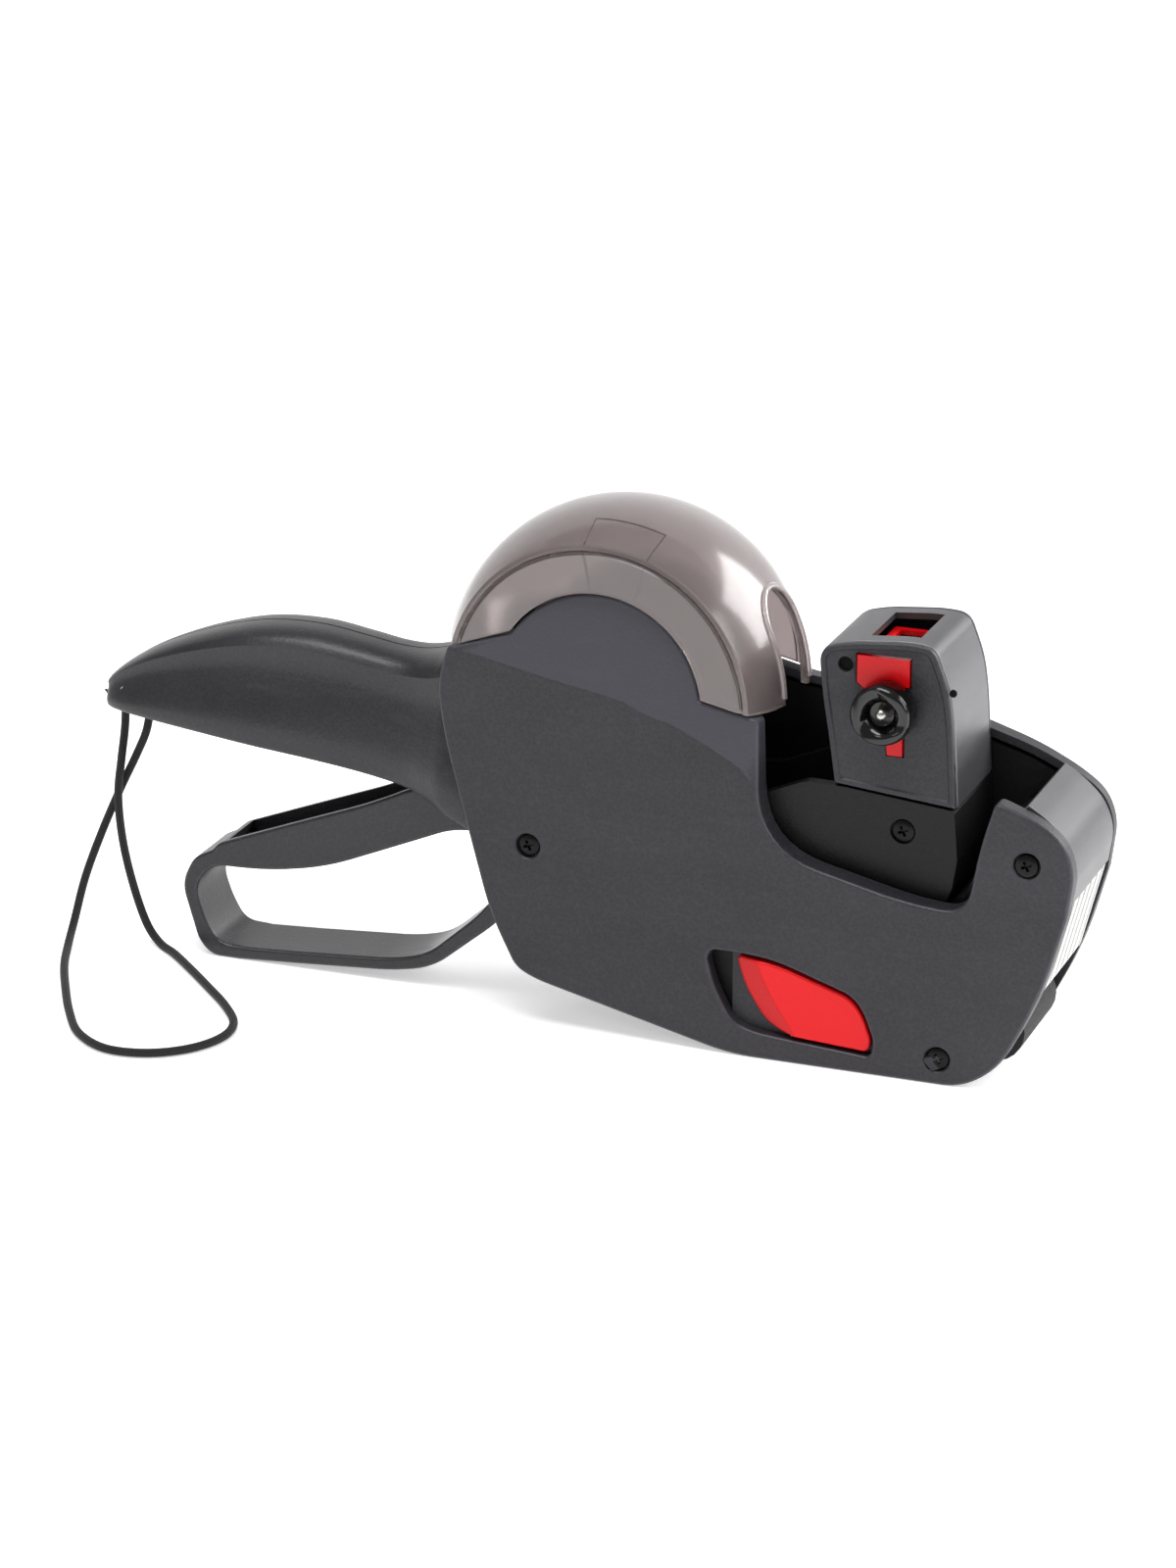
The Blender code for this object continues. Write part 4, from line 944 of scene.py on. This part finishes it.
def dome_section():
    """The section as (radius, y): side band, a fine step, the crown, and a smooth inside."""
    foot = LOBE_RADIUS + 0.45
    steps = 20
    half = DOME_HALF_WIDTH
    near = [(foot, -half + 0.35), (foot + 0.35, -half + 0.05), (DOME_EDGE_RADIUS - 2.2, -half),
            (DOME_EDGE_RADIUS - 1.7, -half + 0.45), (DOME_EDGE_RADIUS - 1.3, -half + 0.45),
            (DOME_EDGE_RADIUS - 0.9, -half), (DOME_EDGE_RADIUS - 0.3, -half + 0.1)]
    crown = []
    for step in range(steps + 1):
        y = (-half + 0.35) + 2 * (half - 0.35) * step / steps
        crown.append((crown_radius(y, DOME_EDGE_RADIUS), y))
    far = [(radius, -y) for radius, y in near[::-1]]
    inner_half = half - DOME_WALL
    inside_crown = []
    for step in range(steps + 1):
        y = inner_half - 2 * inner_half * step / steps
        inside_crown.append((crown_radius(y, DOME_EDGE_RADIUS) - DOME_WALL, y))
    return near + crown + far + [(foot, inner_half)] + inside_crown + [(foot, -inner_half)]


def around_roll(radius, angle, y):
    """A point at a radius and angle about the roll's axis."""
    a = math.radians(angle)
    return Vector((ROLL[0] + radius * math.cos(a), y, ROLL[1] + radius * math.sin(a)))


def roll_dome():
    """The smoked lid: a spun shell trimmed at heel and foot, with the arch and the hinge cut out."""
    shape = bmesh.new()
    section = dome_section()
    turns = 90
    rings = [[shape.verts.new(around_roll(radius, DOME_REAR_ANGLE * turn / turns, y))
              for radius, y in section] for turn in range(turns + 1)]
    count = len(section)
    for first, second in zip(rings, rings[1:]):
        for i in range(count):
            j = (i + 1) % count
            shape.faces.new((first[i], first[j], second[j], second[i]))
    shape.faces.new(rings[0])
    shape.faces.new(rings[-1][::-1])
    dome = piece("dome_shell", shape, SMOKE, body="dome", slot="smoked_plastic")
    heel = extruded("heel", [(-34, 60), (-8, 60), (-8, 100.4), (-13.0, 98.7), (-24.6, 94.6),
                             (-34, 93.4)], -30, 30)
    foot = extruded("foot", [(30, 60), (60, 60), (60, 82.6), (50.4, 84.7), (35.4, 87.9), (30, 89)],
                    -30, 30)
    arch = extruded("arch", arc((0, ARCH_CENTRE), ARCH_RADIUS, 0, 180, 40)
                    + [(-ARCH_RADIUS, 60), (ARCH_RADIUS, 60)], 42, 60, along="X")
    ears = [extruded(f"ear_room_{n}", circle(DOME_HINGE, 2.9, 24), low, high)
            for n, low, high in ((1, -6.8, -2.9), (2, 2.9, 6.8))]
    carve(dome, heel, foot, arch, *ears)
    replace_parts(dome, "roll_dome")
    knuckle = lathe("dome_knuckle", [(0, -2.85), (1.8, -2.85), (2.0, -2.6), (2.0, 2.6), (1.8, 2.85),
                                     (0, 2.85)], DOME_HINGE, SMOKE, 32, body="dome",
                    slot="smoked_plastic")
    even_normals(knuckle)
    dome_lines()


def on_crown(angle, y):
    """A point of a mould line on the crown."""
    return around_roll(crown_radius(y, DOME_EDGE_RADIUS) + LINE_SINK, angle, y)


def arch_lip():
    """The lip's middle line: up one leg of the arch, over its bow and down the other leg."""
    rise = (ARCH_CENTRE - LIP_FOOT) / 14
    leg = [(-LIP_RADIUS, LIP_FOOT + step * rise) for step in range(14)]
    bow = arc((0, ARCH_CENTRE), LIP_RADIUS, 180, 0, 32)
    line = []
    for y, z in leg + bow + [(-y, z) for y, z in leg[::-1]]:
        radius = crown_radius(y, DOME_EDGE_RADIUS) + 0.05
        line.append(Vector((ROLL[0] + math.sqrt(radius ** 2 - (z - ROLL[1]) ** 2), y, z)))
    return line


def dome_lines():
    """Mould lines: two ribs behind each side band, its step, the catch pad and the arch's lip."""
    shared = dict(body="dome", slot="smoked_plastic")
    rib_y = DOME_HALF_WIDTH - DOME_WALL - 0.1
    for side, word in ((-1, "left"), (1, "right")):
        for number, angle in (("rear", 94.0), ("front", 69.5)):
            points = [around_roll(radius, angle + 2.0 * (radius - 27) / 10, side * rib_y)
                      for radius in (26.8, 29.5, 32.5, 35.4)]
            tube(f"{word}_{number}_rib", points, 0.42, SMOKE_DARK, 8, **shared)
    seam = [around_roll(DOME_EDGE_RADIUS - 1.5, 3.5 + 158.5 * step / 60, -DOME_HALF_WIDTH + 0.25)
            for step in range(61)]
    tube("band_seam", seam, 0.22, SMOKE_DARK, 8, **shared)
    pad = ([on_crown(94.5, y) for y in (-21.0, -17.0, -12.0)]
           + [on_crown(angle, -12.0) for angle in (90, 85, 80, 75)]
           + [on_crown(70.5, y) for y in (-12.0, -17.0, -21.0)])
    tube("catch_pad_line", pad, 0.26, SMOKE_DARK, 8, **shared)
    tube("arch_lip", arch_lip(), 0.75, SMOKE_PALE, 10, **shared)


# ---------------------------------------------------------------- print head

HEAD_OUTLINE = rounded((
    (66.9, 69.2, 0.4), (96.7, 66.4, 0.4), (95.4, 87, 10), (94.2, 95, 14), (90.4, 104.9, 7),
    (84, 105.4, 4), (70, 104.1, 6), (62.6, 102.0, 4), (63.4, 92, 10), (65.4, 80, 10)))
NOTCH = (95.2, 94.6)
PIN_HOLE = (69.2, 98.6)


def marker_room(gap):
    """The opening round the red marker: a bar above the knob, the boss and a tail below it."""
    left, right, top = 72.0 - gap, 84.6 + gap, 101.2 + gap
    tail_left, tail_right = 79.6 - gap, 83.2 + gap
    bar_foot, bottom = 94.6 - gap, 77.6 - gap
    boss = arc(WHEELS, 4.4 + gap, 145, 262, 24)
    return ([(right, top), (left, top), (left, bar_foot)] + boss
            + [(tail_left, bottom), (tail_right, bottom), (tail_right, bar_foot), (right, bar_foot)])


def head():
    """The wrap, the two faces it joins, and on the left one black disks of painted shade in the pin hole's
    well and where its notch is.
    """
    inner = rounded((
        (69.0, 68.9), (94.4, 67), (93.3, 87, 10), (92.1, 94.6, 14), (88.9, 103.2, 6),
        (84, 103.8, 4), (71.0, 102.7, 5), (65.2, 100.8, 3), (65.3, 92, 10), (67.0, 80, 10)))
    wrap = plate("head_wrap", HEAD_OUTLINE, -13.25, 13.25, SILVER, openings=(inner,), edge=0.35,
                 back_edge=0.35, steps=3, body="arm", slot="silver_plastic")
    wrap.modifiers.clear()
    carve(wrap, box_cutter("window", (73.6, -9.2, 99), (85.6, 9.2, 110)),
          box_cutter("skirt", (60, -11.2, 60), (94.4, 11.2, 72)))
    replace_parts(wrap, "head_housing")
    rim = evened(inset(HEAD_OUTLINE, 0.15), 0.8)
    field = [(inset(rim, 1.3), 0.0), (inset(rim, 1.65), 0.35)]
    pin_well = [(circle(PIN_HOLE, 1.9), 0.35), (circle(PIN_HOLE, 1.8), 1.2)]
    left = plate("head_left_face", rim, -ARM_HALF_WIDTH, -13.6, COVER, edge=0.55,
                 openings=(marker_room(0.4)[::-1],), contours=field + pin_well, face_ground=0.35,
                 body="arm", slot="cover_plastic")
    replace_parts(left, "head_left_plate")
    right = plate("head_right_face", rim, ARM_HALF_WIDTH, 13.6, COVER, edge=0.55, contours=field,
                  body="arm", slot="cover_plastic")
    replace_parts(right, "head_right_plate")
    # a black disk at the bottom of the pin hole's well: painted shade
    lathe("pin_hole_shade_disk", [(0, -13.75), (1.75, -13.75), (1.75, -13.85), (0, -13.85)], PIN_HOLE, HOLE_SHADE_BLACK, 24,
          body="arm", slot="frame_plastic")
    # a black disk where the notch is: painted shade, no notch is cut
    plate("notch_shade_disk", circle(NOTCH, 0.9, 20), -15.02, -14.4, HOLE_SHADE_BLACK, edge=0.1, steps=2,
          body="arm", slot="frame_plastic")


SEGMENTS = {"0": "abcdef", "1": "bc", "2": "abged", "3": "abgcd", "4": "fgbc", "5": "afgcd",
            "6": "afgedc", "7": "abc", "8": "abcdefg", "9": "abcdfg"}
STROKES = {"a": ((-1, 1), (1, 1)), "b": ((1, 0), (1, 1)), "c": ((1, -1), (1, 0)),
           "d": ((-1, -1), (1, -1)), "e": ((-1, -1), (-1, 0)), "f": ((-1, 0), (-1, 1)),
           "g": ((-1, 0), (1, 0))}
DIGIT_WIDE = 0.75                 # from a figure's middle to its upright strokes
DIGIT_TALL = 1.15                 # and to its top and bottom strokes
STROKE = 0.18                     # half a stroke's width
BLOCK_SIDES = ((0, 1, 2, 3), (7, 6, 5, 4), (0, 4, 5, 1), (1, 5, 6, 2), (2, 6, 7, 3), (3, 7, 4, 0))


def stroke_block(shape, angle, middle, stroke):
    """One raised stroke of a figure, at an angle round the band and at y = middle."""
    (u1, v1), (u2, v2) = STROKES[stroke]
    left, right = min(u1, u2) * DIGIT_WIDE - STROKE, max(u1, u2) * DIGIT_WIDE + STROKE
    low, high = min(v1, v2) * DIGIT_TALL - STROKE, max(v1, v2) * DIGIT_TALL + STROKE
    corners = []
    for radius in (TYPE_ROOT, TYPE_FACE):
        for u, v in ((left, low), (right, low), (right, high), (left, high)):
            turn = math.radians(angle) - v / radius
            corners.append(shape.verts.new((WHEELS[0] + radius * math.cos(turn), middle + u,
                                            WHEELS[1] + radius * math.sin(turn))))
    for side in BLOCK_SIDES:
        shape.faces.new([corners[i] for i in side])


def type_digits():
    """Raised figures round each print band, over the wheels."""
    for column in range(5):
        shape = bmesh.new()
        for place in range(9):
            for stroke in SEGMENTS[str((place * 3 + column * 7) % 10)]:
                stroke_block(shape, 10 + 20 * place, (column - 2) * WHEEL_PITCH, stroke)
        piece(f"band_{column + 1}_type", shape, RUBBER, body="arm", slot="band_rubber")


KNOB_PROFILE = (
    (7.3, -15.5), (7.45, -15.8), (7.5, -17.5), (7.5, -19.0), (7.4, -20.0), (7.15, -20.8),
    (6.75, -21.35), (6.3, -21.65), (5.8, -21.8), (5.3, -21.75), (4.8, -21.5), (4.4, -21.1), (4.0, -20.5),
    (3.6, -19.7), (3.3, -18.9), (3.0, -18.3), (2.6, -18.1), (0.0, -18.1))
PETALS = 3
PETAL_RISE = 0.74                 # the share of each petal that rises; the rest falls back


def knob():
    """A round knob: three finger petals swirl about a deep dish with a bright pin."""
    shape = bmesh.new()
    sides = 160
    rings = []
    for radius, y in KNOB_PROFILE:
        outer = min(1.0, max(0.0, (radius - 3.2) / 3.8))
        ring = []
        for k in range(sides):
            angle = 2 * math.pi * k / sides
            phase = (PETALS * (angle / (2 * math.pi) + 0.12 * (1 - outer))) % 1.0
            step = phase / PETAL_RISE if phase < PETAL_RISE else (1 - phase) / (1 - PETAL_RISE)
            step = step * step * (3 - 2 * step)
            reach = radius - (0.25 * (1 - step) * outer if radius > 6.4 else 0.0)
            dip = 1.0 * (1 - step) * math.sin(math.pi * outer) if y < -19.6 else 0.0
            ring.append(shape.verts.new((WHEELS[0] + reach * math.cos(angle), y + dip,
                                         WHEELS[1] + reach * math.sin(angle))))
        rings.append(ring)
    for first, second in zip(rings, rings[1:]):
        for k in range(sides):
            shape.faces.new((first[k], first[(k + 1) % sides], second[(k + 1) % sides], second[k]))
    shape.faces.new(rings[0])
    obj = piece("knob_moulding", shape, GLOSS, body="knob", slot="gloss_black_plastic", sharp=50)
    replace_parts(obj, "selector_knob")
    lathe("knob_pin", [(1.35, -18.0), (1.35, -19.6), (1.0, -20.1), (0.5, -20.4), (0, -20.45)], WHEELS,
          STEEL, 32, body="knob", slot="steel")


def phillips_screw(name, node, place, face, head_radius, body="housing"):
    """A pan-head screw with a cross recess, its head facing -Y."""
    r = head_radius
    profile = [(0, face), (r * 0.45, face + 0.03), (r * 0.8, face + 0.16), (r * 0.95, face + 0.36),
               (r, face + 0.6), (r, face + 1.1), (1.3, face + 1.1), (1.3, face + 3.2), (0, face + 3.2)]
    screw = lathe(name, profile, place, SCREW, 40, body=body, slot="gloss_black_plastic")
    arm, half = r * 0.58, r * 0.13
    twist = math.radians(24)
    blades = []
    for turn in (twist, twist + math.pi / 2):
        shape = bmesh.new()
        ends = []
        for y, reach in ((face - 1, arm + 0.2), (face + 1.0, arm * 0.55)):
            ends.append([shape.verts.new((place[0] + u * math.cos(turn) - v * math.sin(turn), y,
                                          place[1] + u * math.sin(turn) + v * math.cos(turn)))
                         for u, v in ((-reach, -half), (reach, -half), (reach, half),
                                      (-reach, half))])
        shape.faces.new(ends[0])
        shape.faces.new(ends[1][::-1])
        for i in range(4):
            j = (i + 1) % 4
            shape.faces.new((ends[0][j], ends[0][i], ends[1][i], ends[1][j]))
        blades.append(cutter("cross", shape))
    carve(screw, *blades)
    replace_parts(screw, node)


# ---------------------------------------------------------------- latch buttons

BUTTON_OUTLINE = rounded((
    (46.5, 25.2, 1.5), (55, 24.6, 6), (73.6, 18.6, 4), (76.6, 15.2, 4), (79.2, 8.4, 3),
    (78.4, 5.3, 1.5), (58.5, 6.9, 8), (52.6, 9.2, 5), (47.4, 17.2, 8), (45.4, 24.2, 1)))[::-1]
BUTTON_RIDGE = ((51.0, 24.4), (52.0, 21.4), (55.4, 15.0), (59.6, 8.6), (60.4, 6.9))


def button_lean(x, z):
    """The thumb face dips away from the ridge; behind the ridge a facet falls to the rear edge."""
    ridge = along_line(z, BUTTON_RIDGE, 1, 0)
    behind, before = max(0.0, ridge - x), max(0.0, x - ridge)
    return 0.30 * behind + 0.05 * min(before, 14.0)


# Painted light: the thumb face before the ridge is painted paler, standing in for the light it catches.
def painted_light_before_ridge(x, z):
    return x > along_line(z, BUTTON_RIDGE, 1, 0) + LIGHT_PAINT_SETBACK


def latch_buttons():
    """The red buttons, one in each cover's window."""
    edge = 0.7
    ring = inset(BUTTON_OUTLINE, edge)
    dish = inset(BUTTON_OUTLINE, 2.0)
    lines = creased(BUTTON_RIDGE, ring, (1.0, 0.4))
    shared = dict(edge=edge, steps=5, lines=lines, lean=button_lean, contours=[(dish, 0.0)],
                  body="latch", slot="red_plastic")
    for word, side in (("left", -1), ("right", 1)):
        button = plate(f"{word}_button_moulding", BUTTON_OUTLINE, side * 21.9, side * 19.3, RED,
                       **shared)
        # paints the thumb face before the ridge paler, as painted light
        paint_light_where(button, painted_light_before_ridge)
        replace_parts(button, f"{word}_latch_button")


# ---------------------------------------------------------------- nose

def nose():
    """The silver front, and the pale guide below it with its ribs."""
    outer = rounded(((114.2, 70.2), (118.6, 67.4, 4), (124.0, 62.6, 6), (126.6, 55.8, 5),
                     (125.4, 47.4)), 12)
    inner = rounded(((123.2, 47.9), (124.3, 55.4, 5), (122.3, 61.2, 6), (117.4, 65.5, 4),
                     (112.6, 68.5)), 12)
    cover = plate("nose_wrap", (outer + inner)[::-1], -15.6, 15.6, SILVER, edge=0.25, back_edge=0.25,
                  steps=3, slot="silver_plastic")
    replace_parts(cover, "nose_cover")
    guide_line = [(124.9, 46.9), (122.6, 47.4), (117.3, 26.4), (114.9, 22.4), (116.9, 21.4),
                  (119.5, 25.6)]
    guide = plate("guide_moulding", rounded([(x, z, 0.6) for x, z in guide_line], 4)[::-1],
                  -15.3, 15.3, PALE, edge=0.3, back_edge=0.3, steps=3, slot="pale_plastic")
    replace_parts(guide, "label_guide")
    front = [(119.9, 25.9), (125.2, 46.6), (124.4, 46.8), (119.0, 26.2)]
    for number in range(6):
        y = -12.5 + 5.0 * number
        plate(f"guide_rib_{number + 1}", rounded([(x, z, 0.2) for x, z in front], 3), y - 0.35,
              y + 0.35, PALE, edge=0.12, back_edge=0.12, steps=2, slot="pale_plastic")


SLOT_FINISH = {
    "cover_plastic": COVER, "grip_plastic": GRIP, "frame_plastic": FRAME, "silver_plastic": SILVER,
    "pale_plastic": PALE, "red_plastic": RED, "gloss_black_plastic": GLOSS, "steel": STEEL,
    "smoked_plastic": SMOKE, "black_rubber": RUBBER, "band_rubber": BAND, "lanyard_cord": CORD}


def finish_carried_nodes():
    """Every node that stays as the model has it takes the finish of its slot, save the print arm, which
    takes a darker copy of the grip finish as painted shade.
    """
    for row in frame["record"]["subparts"]:
        mesh = frame["nodes"][row["node"]].data
        # the print arm takes the darker grip copy, as painted shade
        finish = SHADED_ARM_GRIP if row["node"] == "print_arm" else SLOT_FINISH[row["material_slot"]]
        mesh.materials.clear()
        mesh.materials.append(finish)


camera()
studio()
finish_carried_nodes()
wrist_cord()
side_covers()
handle_half("left_handle_shell", "left_handle_half", 1)
handle_half("right_handle_shell", "right_handle_half", -1)
hinge_ears()
trigger()
roll_dome()
head()
type_digits()
knob()
for word, place, face in zip(("rear", "front", "lower"), COVER_SCREWS, (-21.5, -20.6, -21.3)):
    phillips_screw(f"{word}_screw", f"cover_screw_{word}", place, face, 2.75)
phillips_screw("head_face_screw", "head_screw", HEAD_SCREW, -14.95, 2.75, body="arm")
latch_buttons()
nose()
bpy.context.scene.view_settings.view_transform = "Standard"
